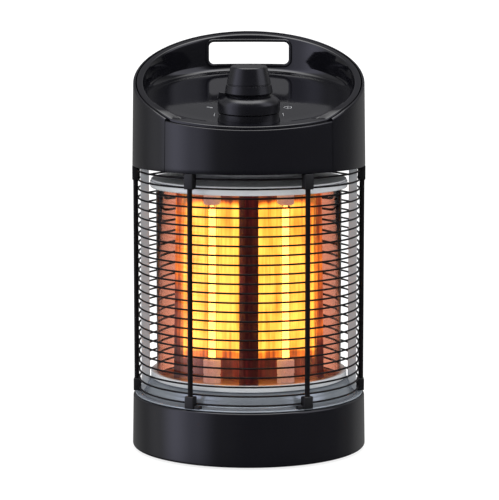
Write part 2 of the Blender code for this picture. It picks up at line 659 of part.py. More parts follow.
def make_lamps():
    """Four quartz lamps with ceramic ends, standing between the lamp plates."""
    low = LOWER_PLATE_Z + SHEET + GAP
    high = UPPER_PLATE_Z - GAP
    low_end = low + LAMP_END_LENGTH
    high_end = high - LAMP_END_LENGTH
    neck_r = LAMP_END_R - LAMP_END_CHAMFER
    profile = [(0, high), (LAMP_END_R, high), (LAMP_END_R, high_end + LAMP_END_CHAMFER),
               (neck_r, high_end), (LAMP_TUBE_R, high_end), (LAMP_TUBE_R, low_end),
               (neck_r, low_end), (LAMP_END_R, low_end - LAMP_END_CHAMFER),
               (LAMP_END_R, low), (0, low)]
    for angle, place in zip(LAMP_ANGLES, LAMP_NAMES):
        lamp = turned(f"lamp_{place}", profile, LAMP, segments=16, closed=False)
        lamp.location = around(LAMP_RING_R, angle)


def reflector_outline(steps=14):
    """Plan of one polished reflector: half a ridge, a half-round trough, half a ridge."""
    base = TIP_R - TIP_HALF * RIDGE_FALL
    reach = TIP_HALF + base - TROUGH_CLEAR
    middle = reach - math.sqrt(reach ** 2 - TIP_HALF ** 2 - base ** 2 + TROUGH_CLEAR ** 2)
    centre = Vector((middle, -middle, 0))
    first = Vector((TIP_HALF, -base, 0)) - centre
    last = Vector((base, -TIP_HALF, 0)) - centre
    start = math.atan2(first.y, first.x)
    sweep = (math.atan2(last.y, last.x) - start) % (2 * math.pi) - 2 * math.pi
    points = [Vector((GAP, -TIP_R, 0))]
    for i in range(steps + 1):
        turn = start + sweep * i / steps
        points.append(centre + first.length * Vector((math.cos(turn), math.sin(turn), 0)))
    points.append(Vector((TIP_R, -GAP, 0)))
    return points


def make_reflectors():
    """Four half-round polished reflectors, back to back round the wire conduit."""
    low = LOWER_PLATE_Z + SHEET + GAP
    high = UPPER_PLATE_Z - GAP
    outline = reflector_outline()
    for number, place in enumerate(LAMP_NAMES):
        mesh = bpy.data.meshes.new(f"reflector_{place}")
        strip = bmesh.new()
        lower = [strip.verts.new((spot.x, spot.y, low)) for spot in outline]
        upper = [strip.verts.new((spot.x, spot.y, high)) for spot in outline]
        for k in range(len(outline) - 1):
            strip.faces.new((lower[k], lower[k + 1], upper[k + 1], upper[k]))
        strip.to_mesh(mesh)
        strip.free()
        sheet = add_object(f"reflector_{place}", mesh, POLISHED)
        skin = sheet.modifiers.new("sheet", "SOLIDIFY")
        skin.thickness = REFLECTOR_SHEET
        skin.offset = 1.0
        spin(sheet, 90 * number)
        smooth(sheet)


def post_clearance(name, side):
    """The space that one side post takes in its neighbours, as a cutter."""
    near, far = sorted((side * (POST_INNER - GAP), side * (POST_INNER + POST_DEPTH + GAP)))
    half = POST_WIDTH / 2 + GAP
    return block(name, (near, -half, BASE_TOP - GAP), (far, half, HOUSING_Z), None, CUTTERS)


def make_posts():
    """Two channel posts that carry the housing, one on each side."""
    low = BASE_TOP + GAP
    high = HOUSING_Z - GAP
    for side, place in ((-1, "left"), (1, "right")):
        near, far = sorted((side * POST_INNER, side * (POST_INNER + POST_DEPTH)))
        half = POST_WIDTH / 2
        post = block(f"post_{place}", (near, -half, low), (far, half, high), STEEL)
        near, far = sorted((side * (POST_INNER - GAP), side * (POST_INNER + POST_DEPTH - POST_WALL)))
        half -= POST_WALL
        channel = block(f"post_channel_{place}", (near, -half, low + POST_WALL),
                        (far, half, high - POST_WALL), None, CUTTERS)
        combine(post, channel, "DIFFERENCE")


# ---- wire guard -------------------------------------------------------------------------
def wire_ring(solid, radius, height, wire):
    """Add one closed ring of square-turned wire to a bmesh."""
    sides = 4
    loops = []
    for k in range(RING_SEGMENTS):
        angle = 360 * k / RING_SEGMENTS
        loop = []
        for j in range(sides):
            turn = 2 * math.pi * j / sides
            spot = around(radius + wire / 2 * math.cos(turn), angle,
                          height + wire / 2 * math.sin(turn))
            loop.append(solid.verts.new(spot))
        loops.append(loop)
    for k in range(RING_SEGMENTS):
        here, after = loops[k], loops[(k + 1) % RING_SEGMENTS]
        for j in range(sides):
            nxt = (j + 1) % sides
            solid.faces.new((here[j], after[j], after[nxt], here[nxt]))


def make_guard():
    """The welded guard: rings one above another, tied by upright rods outside them."""
    mesh = bpy.data.meshes.new("guard_cage")
    solid = bmesh.new()
    for number in range(RING_COUNT):
        wire_ring(solid, GUARD_RING_R, GUARD_LOW + number * RING_PITCH, RING_WIRE)
    bmesh.ops.recalc_face_normals(solid, faces=solid.faces)
    solid.to_mesh(mesh)
    solid.free()
    cage = add_object("guard_cage", mesh, BLACK_WIRE)
    smooth(cage, 50)

    rods = bpy.data.meshes.new("guard_rods")
    solid = bmesh.new()
    low = GUARD_LOW - RING_WIRE
    high = GUARD_TOP + RING_WIRE
    for angle in ROD_ANGLES:
        spot = around(ROD_RING_R, angle, (low + high) / 2)
        bmesh.ops.create_cone(solid, cap_ends=True, segments=8, radius1=ROD_R, radius2=ROD_R,
                              depth=high - low,
                              matrix=Matrix.Translation(spot) @ Matrix.Rotation(
                                  math.radians(angle + 22.5), 4, "Z"))
    solid.to_mesh(rods)
    solid.free()
    combine(cage, add_object("guard_rods", rods, None, CUTTERS), "UNION")


def make_clips():
    """Moulded clips that hold the ends of the guard's rods."""
    inner = ROD_RING_R - CLIP_DEPTH / 2 - CLIP_SHIFT
    outer = ROD_RING_R + CLIP_DEPTH / 2 - CLIP_SHIFT
    seat = BASE_TOP + GAP + SHEET + GAP
    ends = (("lower", seat, seat + CLIP_HEIGHT_LOW, 0),
            ("upper", HOUSING_Z - GAP - CLIP_HEIGHT_TOP, HOUSING_Z - GAP, RING_COUNT - 1))
    for place, low, high, end_ring in ends:
        for number, angle in enumerate(ROD_ANGLES):
            name = f"{place}_clip_{number + 1}"
            clip = block(name, (-CLIP_WIDTH / 2, -outer, low), (CLIP_WIDTH / 2, -inner, high),
                         SATIN_BLACK)
            if place == "lower" and angle in LUG_ANGLES:
                low_x, high_x = sorted((0, LUG_ANGLES[angle] * (CLIP_WIDTH / 2 + CLIP_LUG)))
                lug = block(name + "_lug", (low_x, -outer + CLIP_LUG_SETBACK, low),
                            (high_x, -inner, low + CLIP_LUG_HEIGHT), None, CUTTERS)
                spin(lug, angle)
                combine(clip, lug, "UNION")
            spin(clip, angle)
            bore_low = GUARD_LOW - RING_WIRE - GAP if place == "lower" else low - GAP
            bore_high = high + GAP if place == "lower" else GUARD_TOP + RING_WIRE + GAP
            spot = around(ROD_RING_R, angle)
            bore = drum(name + "_bore", ROD_R + GAP, spot + Vector((0, 0, bore_low)),
                        spot + Vector((0, 0, bore_high)), None, CUTTERS, 12)
            combine(clip, bore, "DIFFERENCE")
            for ring in {end_ring, abs(end_ring - 1)}:
                height = GUARD_LOW + ring * RING_PITCH
                reach = RING_WIRE / 2 + GAP
                if low < height + reach and height - reach < high:
                    groove = block(f"{name}_groove_{ring}",
                                   (-CLIP_WIDTH, -GUARD_RING_R - reach, height - reach),
                                   (CLIP_WIDTH, -inner + GAP, height + reach), None, CUTTERS)
                    spin(groove, angle)
                    combine(clip, groove, "DIFFERENCE")


# ---- upper housing ------------------------------------------------------------------------
def housing_skin(name, material):
    """The housing's outer wall as a full ring, before it is cut to shape."""
    top = TOP_REACH - 20 * MM
    taper = (HOUSING_R_BOTTOM - HOUSING_R_TOP) / (RIM_Z - HOUSING_Z)
    top_r = HOUSING_R_BOTTOM - taper * (top - HOUSING_Z)
    profile = [(top_r, top), (HOUSING_R_BOTTOM, HOUSING_Z + HOUSING_EDGE),
               (HOUSING_R_BOTTOM - HOUSING_EDGE, HOUSING_Z), (HOUSING_R_BOTTOM - WALL, HOUSING_Z),
               (top_r - WALL, top)]
    return turned(name, profile, material)


def make_housing():
    """Rear housing with its carry handle, front panel, deck and floor plate."""
    rim = above_rim()
    slot = handle_slot()
    rear = housing_skin("rear_housing", GLOSS_BLACK)
    combine(rear, rim, "DIFFERENCE")
    combine(rear, front_sector("front_cut", SEAM_ANGLE), "DIFFERENCE")
    combine(rear, slot, "DIFFERENCE")

    seam = math.degrees(SEAM_GAP / HOUSING_R_TOP)
    panel = housing_skin("front_panel", GLOSS_BLACK)
    combine(panel, front_sector("front_keep", SEAM_ANGLE - seam), "INTERSECT")
    combine(panel, under_deck("panel_top", PANEL_DROP), "INTERSECT")

    liner_profile = [(0, TOP_REACH - 20 * MM), (LINER_R, TOP_REACH - 20 * MM),
                     (LINER_R, HOUSING_Z + WALL), (0, HOUSING_Z + WALL)]
    deck = turned("control_deck", liner_profile, GLOSS_BLACK, closed=False)
    combine(deck, rim, "DIFFERENCE")
    combine(deck, under_deck("under_deck", DECK_THICK), "DIFFERENCE")
    combine(deck, bowl_cutter(), "DIFFERENCE")
    combine(deck, slot, "DIFFERENCE")
    foot, up = knob_foot()
    seat = drum("knob_seat", KNOB_SKIRT_R - SEAT_INSET, foot - up * (SWITCH_TOP - DECK_THICK),
                foot, None, CUTTERS, ROUND_SEGMENTS)
    combine(deck, seat, "UNION")
    shaft_hole = drum("shaft_hole", SHAFT_R + DECK_HOLE_CLEAR, foot - up * 2 * SWITCH_TOP,
                      foot + up * SWITCH_TOP, None, CUTTERS)
    combine(deck, shaft_hole, "DIFFERENCE")

    floor_r = HOUSING_R_BOTTOM - WALL - FLOOR_CLEAR
    floor = drum("housing_floor", floor_r, (0, 0, HOUSING_Z + GAP), (0, 0, NECK_TOP), SATIN_BLACK,
                 segments=ROUND_SEGMENTS)
    hole = drum("floor_hole", NECK_R + GAP, (0, 0, HOUSING_Z - WALL), (0, 0, NECK_TOP + WALL),
                None, CUTTERS, ROUND_SEGMENTS)
    combine(floor, hole, "DIFFERENCE")
    for side, place in ((-1, "left"), (1, "right")):
        seat = Vector((side * (POST_INNER + POST_DEPTH / 2 - POST_WALL), 0, NECK_TOP + GAP))
        make_screw(f"post_screw_{place}", seat, (0, 0, 1))
        hole = drum(f"post_screw_hole_{place}", SCREW_R + GAP, seat - Vector((0, 0, 12 * MM)),
                    seat + Vector((0, 0, WALL)), None, CUTTERS, 12)
        combine(floor, hole, "DIFFERENCE")
        combine(bpy.data.objects[f"post_{place}"], hole, "DIFFERENCE")


# ---- control knob ---------------------------------------------------------------------------
def knob_foot():
    """The middle of the knob's seat, and the direction of the knob's axis."""
    lean = math.radians(KNOB_TILT)
    up = Vector((0, -math.sin(lean), math.cos(lean)))
    rise = (DECK_SLOPE - math.tan(lean)) * (KNOB_SKIRT_R - SEAT_INSET) + SEAT_SHOWING
    foot = Vector((0, KNOB_Y, deck_height(KNOB_Y) + rise))
    return foot, up


def make_knob():
    """The control knob with its pointer, on a shaft into the rotary switch."""
    foot, up = knob_foot()
    pivot = bpy.data.objects.new("knob_axis", None)
    PARTS.objects.link(pivot)
    turn = Vector((0, 0, 1)).rotation_difference(up)
    pivot.matrix_world = Matrix.Translation(foot + up * KNOB_LIFT) @ turn.to_matrix().to_4x4()

    skirt = KNOB_SKIRT_HEIGHT
    top_r = KNOB_GRIP_R_TOP - KNOB_EDGE
    profile = [(0, KNOB_HEIGHT), (top_r, KNOB_HEIGHT)]
    profile += arc(top_r, KNOB_HEIGHT - KNOB_EDGE, KNOB_EDGE, 60, 0, 2)
    profile += [(KNOB_GRIP_R_LOW, skirt + KNOB_WAIST + SHEET),
                (KNOB_GRIP_R_LOW - KNOB_WAIST, skirt + POINTER_RISE)]
    profile += [(KNOB_SKIRT_R - KNOB_SHOULDER, skirt)]
    profile += arc(KNOB_SKIRT_R - KNOB_SHOULDER, skirt - KNOB_SHOULDER, KNOB_SHOULDER, 75, 0, 5)
    profile += [(KNOB_SKIRT_R, 0), (0, 0)]
    knob = turned("control_knob", profile, SATIN_BLACK, segments=32, closed=False)
    knob.parent = pivot
    point = math.radians(POINTER_ANGLE - 90)
    half = POINTER_WIDTH / 2
    rib = block("pointer_rib", (KNOB_GRIP_R_LOW - KNOB_WAIST - SHEET, -half, skirt - POINTER_WIDTH),
                (KNOB_SKIRT_R - SHEET, half, skirt + POINTER_RISE), None, CUTTERS)
    rib.parent = pivot
    rib.rotation_euler = (0, 0, point)
    combine(knob, rib, "UNION")
    socket = drum("knob_socket", SHAFT_R + GAP, (0, 0, -SHEET), (0, 0, SHAFT_IN_KNOB), None,
                  CUTTERS, 16)
    socket.parent = pivot
    combine(knob, socket, "DIFFERENCE")

    switch_top = -KNOB_LIFT - SWITCH_TOP
    shaft = drum("switch_shaft", SHAFT_R, (0, 0, switch_top - SHAFT_IN_SWITCH + GAP),
                 (0, 0, SHAFT_IN_KNOB - GAP), STEEL, segments=16)
    shaft.parent = pivot
    half = SWITCH_SIZE / 2
    switch = block("rotary_switch", (-half, -half, switch_top - SWITCH_DEPTH),
                   (half, half, switch_top), CERAMIC, bevel=SHEET)
    switch.parent = pivot
    bore = drum("switch_bore", SHAFT_R + SHAFT_CLEAR, (0, 0, switch_top - SHAFT_IN_SWITCH),
                (0, 0, switch_top + SHEET), None, CUTTERS, 16)
    bore.parent = pivot
    combine(switch, bore, "DIFFERENCE")


make_base()
make_cable_inlet()
make_inner_base()
make_chamber()
make_lamps()
make_reflectors()
make_posts()
make_guard()
make_clips()
make_housing()
make_knob()
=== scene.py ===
"""Looks of a round tabletop patio heater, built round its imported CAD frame.

Units are metres and +Z is up.  The front, with the knob and the low lip, is -Y.
"""

import json
import logging
import math
from dataclasses import dataclass, field
from enum import Enum
from typing import Callable, Iterable, Sequence

import bmesh
import bpy
from mathutils import Matrix, Vector


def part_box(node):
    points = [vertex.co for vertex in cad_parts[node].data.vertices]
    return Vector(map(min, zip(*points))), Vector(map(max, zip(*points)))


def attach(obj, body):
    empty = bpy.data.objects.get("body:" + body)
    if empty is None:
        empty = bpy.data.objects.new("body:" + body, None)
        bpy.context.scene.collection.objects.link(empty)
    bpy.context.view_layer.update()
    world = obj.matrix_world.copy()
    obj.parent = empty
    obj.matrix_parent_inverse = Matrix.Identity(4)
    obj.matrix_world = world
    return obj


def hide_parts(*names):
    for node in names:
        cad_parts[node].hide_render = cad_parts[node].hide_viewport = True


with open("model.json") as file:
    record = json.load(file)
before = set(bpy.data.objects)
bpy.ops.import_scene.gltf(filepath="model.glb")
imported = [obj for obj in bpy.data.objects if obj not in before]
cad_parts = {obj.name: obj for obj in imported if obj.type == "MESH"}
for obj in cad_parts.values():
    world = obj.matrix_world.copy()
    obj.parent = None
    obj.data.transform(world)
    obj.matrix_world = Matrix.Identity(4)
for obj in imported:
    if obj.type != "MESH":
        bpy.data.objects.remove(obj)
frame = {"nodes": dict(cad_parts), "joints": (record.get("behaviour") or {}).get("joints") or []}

LOG = logging.getLogger("patio_heater")
MM = 0.001
ROUND = 144                     # columns round a turned piece
SMOOTHEST = 0.02                # no finish is smoother than this
FINE_RELIEF = 0.2 * MM

Colour = tuple[float, float, float]
Profile = list[tuple[float, float]]
Columns = list[list[Vector]]


class Slot(Enum):
    """The record's material slots that new pieces belong to."""

    GLOSS = "housing_gloss"
    KNOB = "knob_plastic"
    CLIP = "clip_plastic"
    RUBBER = "foot_rubber"
    REFLECTOR = "polished_reflector"
    DISH = "dish_steel"
    COLLAR = "collar_aluminium"
    POST = "post_steel"
    WIRE = "guard_wire"
    GLASS = "heat_glass"
    LAMP = "quartz_lamp"


class Body(Enum):
    """The bodies that new pieces ride on."""

    ROOT = "root"
    KNOB = "knob"


# ---- colours and nodes ------------------------------------------------------------------
def linear(code: str, alpha: float = 1.0) -> tuple[float, float, float, float]:
    """Turn an sRGB hex colour to linear light.

    Args:
        code: The colour, such as "#1a1a1c".
        alpha: Its opacity.

    Returns:
        Red, green, blue and alpha.
    """
    channels = [int(code[i:i + 2], 16) / 255 for i in (1, 3, 5)]
    light = [c / 12.92 if c <= 0.04045 else ((c + 0.055) / 1.055) ** 2.4 for c in channels]
    return (*light, alpha)


def add_node(tree: bpy.types.NodeTree, kind: str, settings: dict | None = None,
             links: dict | None = None) -> bpy.types.Node:
    """Add a node with its settings and links.

    Args:
        tree: The node tree to add to.
        kind: The node's Blender type, without "ShaderNode".
        settings: Values by attribute name, or by input name or number.
        links: Output sockets by input name or number.

    Returns:
        The new node.
    """
    made = tree.nodes.new("ShaderNode" + kind)
    for key, value in (settings or {}).items():
        if isinstance(key, str) and hasattr(made, key):
            setattr(made, key, value)
        else:
            made.inputs[key].default_value = value
    for key, output in (links or {}).items():
        tree.links.new(output, made.inputs[key])
    return made


def add_ramp(tree: bpy.types.NodeTree, value: bpy.types.NodeSocket,
             stops: Sequence[tuple[float, Colour]], ease: bool = False) -> bpy.types.NodeSocket:
    """Add a colour ramp.

    Args:
        tree: The node tree to add to.
        value: What runs along the ramp, from 0 to 1.
        stops: Places on the ramp with their colours.
        ease: Whether the colours ease in and out between the stops.

    Returns:
        The colour.
    """
    made = add_node(tree, "ValToRGB", None, {"Fac": value})
    if ease:
        made.color_ramp.interpolation = "EASE"
    while len(made.color_ramp.elements) < len(stops):
        made.color_ramp.elements.new(0.5)
    for element, (spot, colour) in zip(made.color_ramp.elements, stops):
        element.position = spot
        element.color = (*colour, 1)
    return made.outputs["Color"]


@dataclass(frozen=True)
class Finish:
    """What every finish has: a name, a colour and a gloss, and the layers that it is made of."""

    name: str
    colour: str = "#808080"
    roughness: float = 0.5

    def start(self, **sockets: object) -> tuple[bpy.types.Material, bpy.types.NodeTree]:
        """Make the material and set its shader.

        Args:
            **sockets: Shader sockets, with "_" for the space in their names.

        Returns:
            The material and its node tree.
        """
        made = bpy.data.materials.new(self.name)
        made.use_nodes = True
        inputs = made.node_tree.nodes["Principled BSDF"].inputs
        inputs["Base Color"].default_value = linear(self.colour)
        inputs["Roughness"].default_value = self.roughness
        for key, value in sockets.items():
            inputs[key.replace("_", " ")].default_value = value
        return made, made.node_tree

    def drive(self, tree: bpy.types.NodeTree, name: str, output: bpy.types.NodeSocket) -> None:
        """Link an output to one of the shader's sockets.

        Args:
            tree: The material's nodes.
            name: The shader's socket.
            output: What drives it.
        """
        tree.links.new(output, tree.nodes["Principled BSDF"].inputs[name])

    def noise(self, tree: bpy.types.NodeTree, size_mm: float, detail: float,
              stretch: Sequence[float] = (1, 1, 1), rough: float = 0.5) -> bpy.types.NodeSocket:
        """Noise on object coordinates.

        Args:
            tree: The material's nodes.
            size_mm: Size of its features.
            detail: How many finer layers it has.
            stretch: Factor on each axis; a small one draws the features out.
            rough: How strong the finer layers are.

        Returns:
            The noise, from 0 to 1.
        """
        place = add_node(tree, "TexCoord")
        where = add_node(tree, "Mapping", {"Scale": stretch}, {"Vector": place.outputs["Object"]})
        made = add_node(tree, "TexNoise", {"Scale": 1 / (size_mm * MM), "Detail": detail,
                                           "Roughness": rough}, {"Vector": where.outputs["Vector"]})
        return made.outputs["Fac"]

    def vary_gloss(self, tree: bpy.types.NodeTree, value: bpy.types.NodeSocket, below: float,
                   above: float) -> None:
        """Let the roughness follow a noise.

        Args:
            tree: The material's nodes.
            value: The noise.
            below: How far under the finish's own roughness it goes.
            above: How far over it.
        """
        gloss = add_node(tree, "MapRange", {"To Min": max(SMOOTHEST, self.roughness - below),
                                            "To Max": self.roughness + above}, {"Value": value})
        self.drive(tree, "Roughness", gloss.outputs["Result"])

    def vary_tone(self, tree: bpy.types.NodeTree, value: bpy.types.NodeSocket,
                  second: Sequence[float]) -> None:
        """Let the colour follow a noise.

        Args:
            tree: The material's nodes.
            value: The noise.
            second: The linear colour where the noise is high.
        """
        tone = add_node(tree, "MixRGB", {"Color1": linear(self.colour), "Color2": second},
                        {"Fac": value})
        self.drive(tree, "Base Color", tone.outputs["Color"])

    def emboss(self, tree: bpy.types.NodeTree, height: bpy.types.NodeSocket, strength: float,
               depth: float = FINE_RELIEF, under: bpy.types.NodeSocket | None = None
               ) -> bpy.types.NodeSocket:
        """Let a noise raise and sink the surface.

        Args:
            tree: The material's nodes.
            height: The noise.
            strength: How much of the relief shows.
            depth: The relief's height.
            under: The normal of a relief that lies beneath.

        Returns:
            The surface's normal.
        """
        bump = add_node(tree, "Bump", {"Strength": strength, "Distance": depth},
                        {"Height": height} if under is None else {"Height": height, "Normal": under})
        self.drive(tree, "Normal", bump.outputs["Normal"])
        return bump.outputs["Normal"]

    def build(self) -> bpy.types.Material:
        """Make the material.

        Returns:
            The plain material.
        """
        return self.start()[0]

    def material(self) -> bpy.types.Material:
        """Give the material, which is made the first time it is asked for.

        Returns:
            The material.
        """
        return bpy.data.materials.get(self.name) or self.build()


@dataclass(frozen=True)
class MouldedPlastic(Finish):
    """Injection-moulded ABS: a deep black body under a skin that carries soft reflections.

    The mould's polish leaves a faint haze, which spreads the reflections unevenly, and a
    slow ripple that bends their edges; a spark-eroded mould leaves a fine matt grain.
    """

    haze: float = 0.06              # how much the gloss varies
    haze_mm: float = 35.0
    bloom: float = 1.5              # how much paler the plastic is in the haze
    ripple_mm: float = 18.0
    ripple: float = 0.03
    grain_mm: float = 0.9           # real grain is finer; this is as coarse as shows
    grain_depth: float = 0.02

    def build(self) -> bpy.types.Material:
        """Make the material.

        Returns:
            The plastic.
        """
        made, tree = self.start(IOR=1.53)
        haze = self.noise(tree, self.haze_mm, 6.0)
        self.vary_gloss(tree, haze, self.haze / 2, self.haze)
        pale = [channel * self.bloom for channel in linear(self.colour)[:3]]
        self.vary_tone(tree, haze, (*pale, 1))
        wave = self.emboss(tree, self.noise(tree, self.ripple_mm, 1.0), self.ripple, MM)
        self.emboss(tree, self.noise(tree, self.grain_mm, 2.0), self.grain_depth, under=wave)
        return made


@dataclass(frozen=True)
class WorkedMetal(Finish):
    """Sheet metal: rolled, brushed or spun, so that fine lines run one way over it.

    The lines stretch the reflections across themselves, and heat or handling leaves a
    slow change of tone.
    """

    line_mm: float = 0.8            # spacing of the lines, drawn as coarse as shows
    run: tuple[float, float, float] = (1, 1, 0.04)
    line_depth: float = 0.06
    tone: str = "#808080"           # the second tone of the metal
    tone_mm: float = 30.0
    spread: float = 0.10            # how much the gloss varies
    metallic: float = 1.0           # less where a clear anodic or lacquer film scatters light

    def build(self) -> bpy.types.Material:
        """Make the material.

        Returns:
            The metal.
        """
        made, tree = self.start(Metallic=self.metallic)
        self.vary_tone(tree, self.noise(tree, self.tone_mm, 4.0), linear(self.tone))
        lines = self.noise(tree, self.line_mm, 3.0, self.run)
        self.vary_gloss(tree, lines, self.spread / 2, self.spread)
        self.emboss(tree, lines, self.line_depth)
        return made


@dataclass(frozen=True)
class GlowPaintedReflector(WorkedMetal):
    """Rolled aluminium behind a lit lamp, with the coil's light painted on it as emission.

    The painted glow is streaked along the upright roll lines and is as tall as the coil, so it
    ends sharply below it, and it falls from yellow through orange to a dull red on the folds that
    face away from the lamps.
    """

    level: str = "painted_lamp_glow"       # the mesh's painted level of lamp glow, from 0 to 1
    streak_mm: float = 4.0
    streak_run: tuple[float, float, float] = (1, 1, 0.035)
    patch_mm: float = 20.0
    patch_run: tuple[float, float, float] = (1, 1, 0.35)
    dimmer: float = -0.30           # what streaks and patches take from the painted glow and add to it
    brighter: float = 0.13
    glow: tuple[tuple[float, Colour], ...] = (
        (0.0, (0.02, 0.001, 0.004)), (0.16, (0.07, 0.006, 0.012)), (0.34, (0.26, 0.05, 0.03)),
        (0.54, (0.80, 0.24, 0.03)), (0.74, (1.0, 0.60, 0.07)), (1.0, (1.0, 0.86, 0.16)))
    weak: float = 0.9               # strength of the painted glow at its reddest and at its yellowest
    strong: float = 2.3

    def build(self) -> bpy.types.Material:
        """Make the material.

        Returns:
            The metal with its painted lamp glow.
        """
        made = super().build()
        tree = made.node_tree
        light = add_node(tree, "Attribute", {"attribute_name": self.level})
        streaks = self.noise(tree, self.streak_mm, 3.0, self.streak_run, rough=0.65)
        patches = self.noise(tree, self.patch_mm, 2.0, self.patch_run)
        uneven = add_node(tree, "Math", {"operation": "ADD"}, {0: streaks, 1: patches})
        swing = add_node(tree, "MapRange", {"From Min": 0.7, "From Max": 1.25, "To Min": self.dimmer,
                                            "To Max": self.brighter}, {"Value": uneven.outputs[0]})
        level = add_node(tree, "Math", {"operation": "ADD", "use_clamp": True},
                         {0: light.outputs["Fac"], 1: swing.outputs["Result"]})
        self.drive(tree, "Emission Color", add_ramp(tree, level.outputs[0], self.glow))
        power = add_node(tree, "MapRange", {"From Min": 0.35, "From Max": 0.95, "To Min": self.weak,
                                            "To Max": self.strong}, {"Value": level.outputs[0]})
        self.drive(tree, "Emission Strength", power.outputs["Result"])
        return made


@dataclass(frozen=True)
class PowderCoat(Finish):
    """Black powder coat on wire: a satin skin with a slight orange peel."""

    peel_mm: float = 1.6
    peel: float = 0.12
    worn: str = "#0f0d0e"           # the tone on the peel's high spots

    def build(self) -> bpy.types.Material:
        """Make the material.

        Returns:
            The coat.
        """
        made, tree = self.start(IOR=1.5, Specular_IOR_Level=0.22)
        peel = self.noise(tree, self.peel_mm, 2.0)
        self.vary_gloss(tree, peel, 0.08, 0.12)
        self.vary_tone(tree, peel, linear(self.worn))
        self.emboss(tree, peel, self.peel)
        return made


@dataclass(frozen=True)
class Ceramic(Finish):
    """Pressed steatite or phenolic: chalky, with a fine speckle and no sheen."""

    speck_mm: float = 1.2
    speck: str = "#8f7f74"
    painted_glow_strength: float = 0.0             # painted glow: lamp light painted as emission on the ends of a lit lamp

    def build(self) -> bpy.types.Material:
        """Make the material.

        Returns:
            The ceramic.
        """
        # the emission paints lamp glow on the ceramic
        made, tree = self.start(IOR=1.55, Emission_Strength=self.painted_glow_strength,
                                Emission_Color=linear(self.colour))
        specks = self.noise(tree, self.speck_mm, 5.0)
        share = add_node(tree, "MapRange", {"From Min": 0.45, "From Max": 0.75, "To Max": 0.6},
                         {"Value": specks})
        self.vary_tone(tree, share.outputs["Result"], linear(self.speck))
        self.emboss(tree, specks, 0.15)
        return made


@dataclass(frozen=True)
class ClearGlass(Finish):
    """Drawn borosilicate or quartz glass: clear, with draw lines along its length.

    The heater's tube is tinted warm, so what stands behind it looks salmon.  Lamp light
    goes straight through, as it does through a thin wall.
    """

    draw_mm: float = 6.0
    ior: float = 1.47

    def build(self) -> bpy.types.Material:
        """Make the material.

        Returns:
            The glass.
        """
        made, tree = self.start(IOR=self.ior, Transmission_Weight=1.0)
        self.emboss(tree, self.noise(tree, self.draw_mm, 1.0, (1, 1, 0.03)), 0.015, MM)
        path = add_node(tree, "LightPath")
        through = add_node(tree, "BsdfTransparent", {"Color": linear(self.colour)})
        body = tree.nodes["Principled BSDF"].outputs["BSDF"]
        mixed = add_node(tree, "MixShader", None,
                         {0: path.outputs["Is Shadow Ray"], 1: body, 2: through.outputs["BSDF"]})
        tree.links.new(mixed.outputs["Shader"], tree.nodes["Material Output"].inputs["Surface"])
        return made


@dataclass(frozen=True)
class Incandescent(Finish):
    """A tungsten coil's light in a quartz tube: orange-white, with hotter and cooler turns."""

    glow: Colour = (1.0, 0.66, 0.22)
    strength: float = 5.0
    swing: float = 0.2              # how much hotter or cooler a turn is
    turn_mm: float = 9.0

    def build(self) -> bpy.types.Material:
        """Make the material.

        Returns:
            The hot metal.
        """
        made, tree = self.start(Emission_Color=(*self.glow, 1.0))
        turns = self.noise(tree, self.turn_mm, 1.0, (0.05, 0.05, 1))
        power = add_node(tree, "MapRange", {"From Min": 0.3, "From Max": 0.7,
                                            "To Min": self.strength * (1 - self.swing),
                                            "To Max": self.strength * (1 + self.swing)},
                         {"Value": turns})
        self.drive(tree, "Emission Strength", power.outputs["Result"])
        return made


GLOSS_ABS = MouldedPlastic("gloss_moulded_abs", "#0a0a0d", 0.13, haze=0.04)
DECK_ABS = MouldedPlastic("high_gloss_moulded_abs", "#0a0a0d", 0.06, haze=0.03, ripple=0.015,
                          grain_depth=0.01)
KNOB_ABS = MouldedPlastic("satin_gloss_knob_abs", "#09090c", 0.26, grain_depth=0.05)
GRAINED_ABS = MouldedPlastic("spark_grained_abs", "#0a0a0b", 0.48, grain_depth=0.25)
RUBBER = MouldedPlastic("moulded_nitrile_rubber", "#101010", 0.8, grain_depth=0.3)
COATED_WIRE = PowderCoat("powder_coated_wire", "#060405", 0.42)
MIRROR = WorkedMetal("polished_anodised_aluminium", "#f2ece4", 0.30, line_mm=1.5, tone="#e4cfae",
                     run=(0.05, 0.05, 1), line_depth=0.10)
# rolled aluminium whose lamp glow is painted on as emission
GLOW_PAINTED_MIRROR = GlowPaintedReflector("rolled_aluminium_painted_glow", "#8f8a88", 0.28, line_mm=1.5,
                          tone="#6f6864", run=(1, 1, 0.03), line_depth=0.12)
SPUN_STEEL = WorkedMetal("spun_stainless_steel", "#aab1b8", 0.18, line_mm=1.0, tone="#8f979f",
                         run=(1, 1, 4), line_depth=0.05, metallic=0.5)
PLATED_STEEL = WorkedMetal("brushed_plated_steel", "#cdd0d3", 0.34, tone="#aeb2b5",
                           line_depth=0.08, metallic=0.2)
SATIN_RING = WorkedMetal("satin_anodised_aluminium", "#eceef0", 0.22, tone="#d4d8dc",
                         run=(1, 1, 5), line_depth=0.04, metallic=0.2)
ZINC = WorkedMetal("zinc_plated_steel", "#b4b6b8", 0.35, tone="#9a9a8c", tone_mm=4.0)
# the lamp ends carry a painted lamp glow as emission
STEATITE = Ceramic("pressed_steatite", "#dfe6f2", 0.7, speck="#a89f9a", painted_glow_strength=0.30)
BAKELITE = Ceramic("moulded_phenolic", "#5a4a3c", 0.55, speck="#3a2f26")
TUBE_GLASS = ClearGlass("warm_tinted_borosilicate", "#eebca8", 0.0)
QUARTZ = ClearGlass("drawn_quartz", "#fff6ea", 0.0, ior=1.46, draw_mm=3.0)
HOT_COIL = Incandescent("incandescent_tungsten", "#ffcf80", 0.5)
DIAL_INK = Ceramic("pad_printed_dial_ink", "#c8c9cc", 0.5, speck="#b0b1b4")


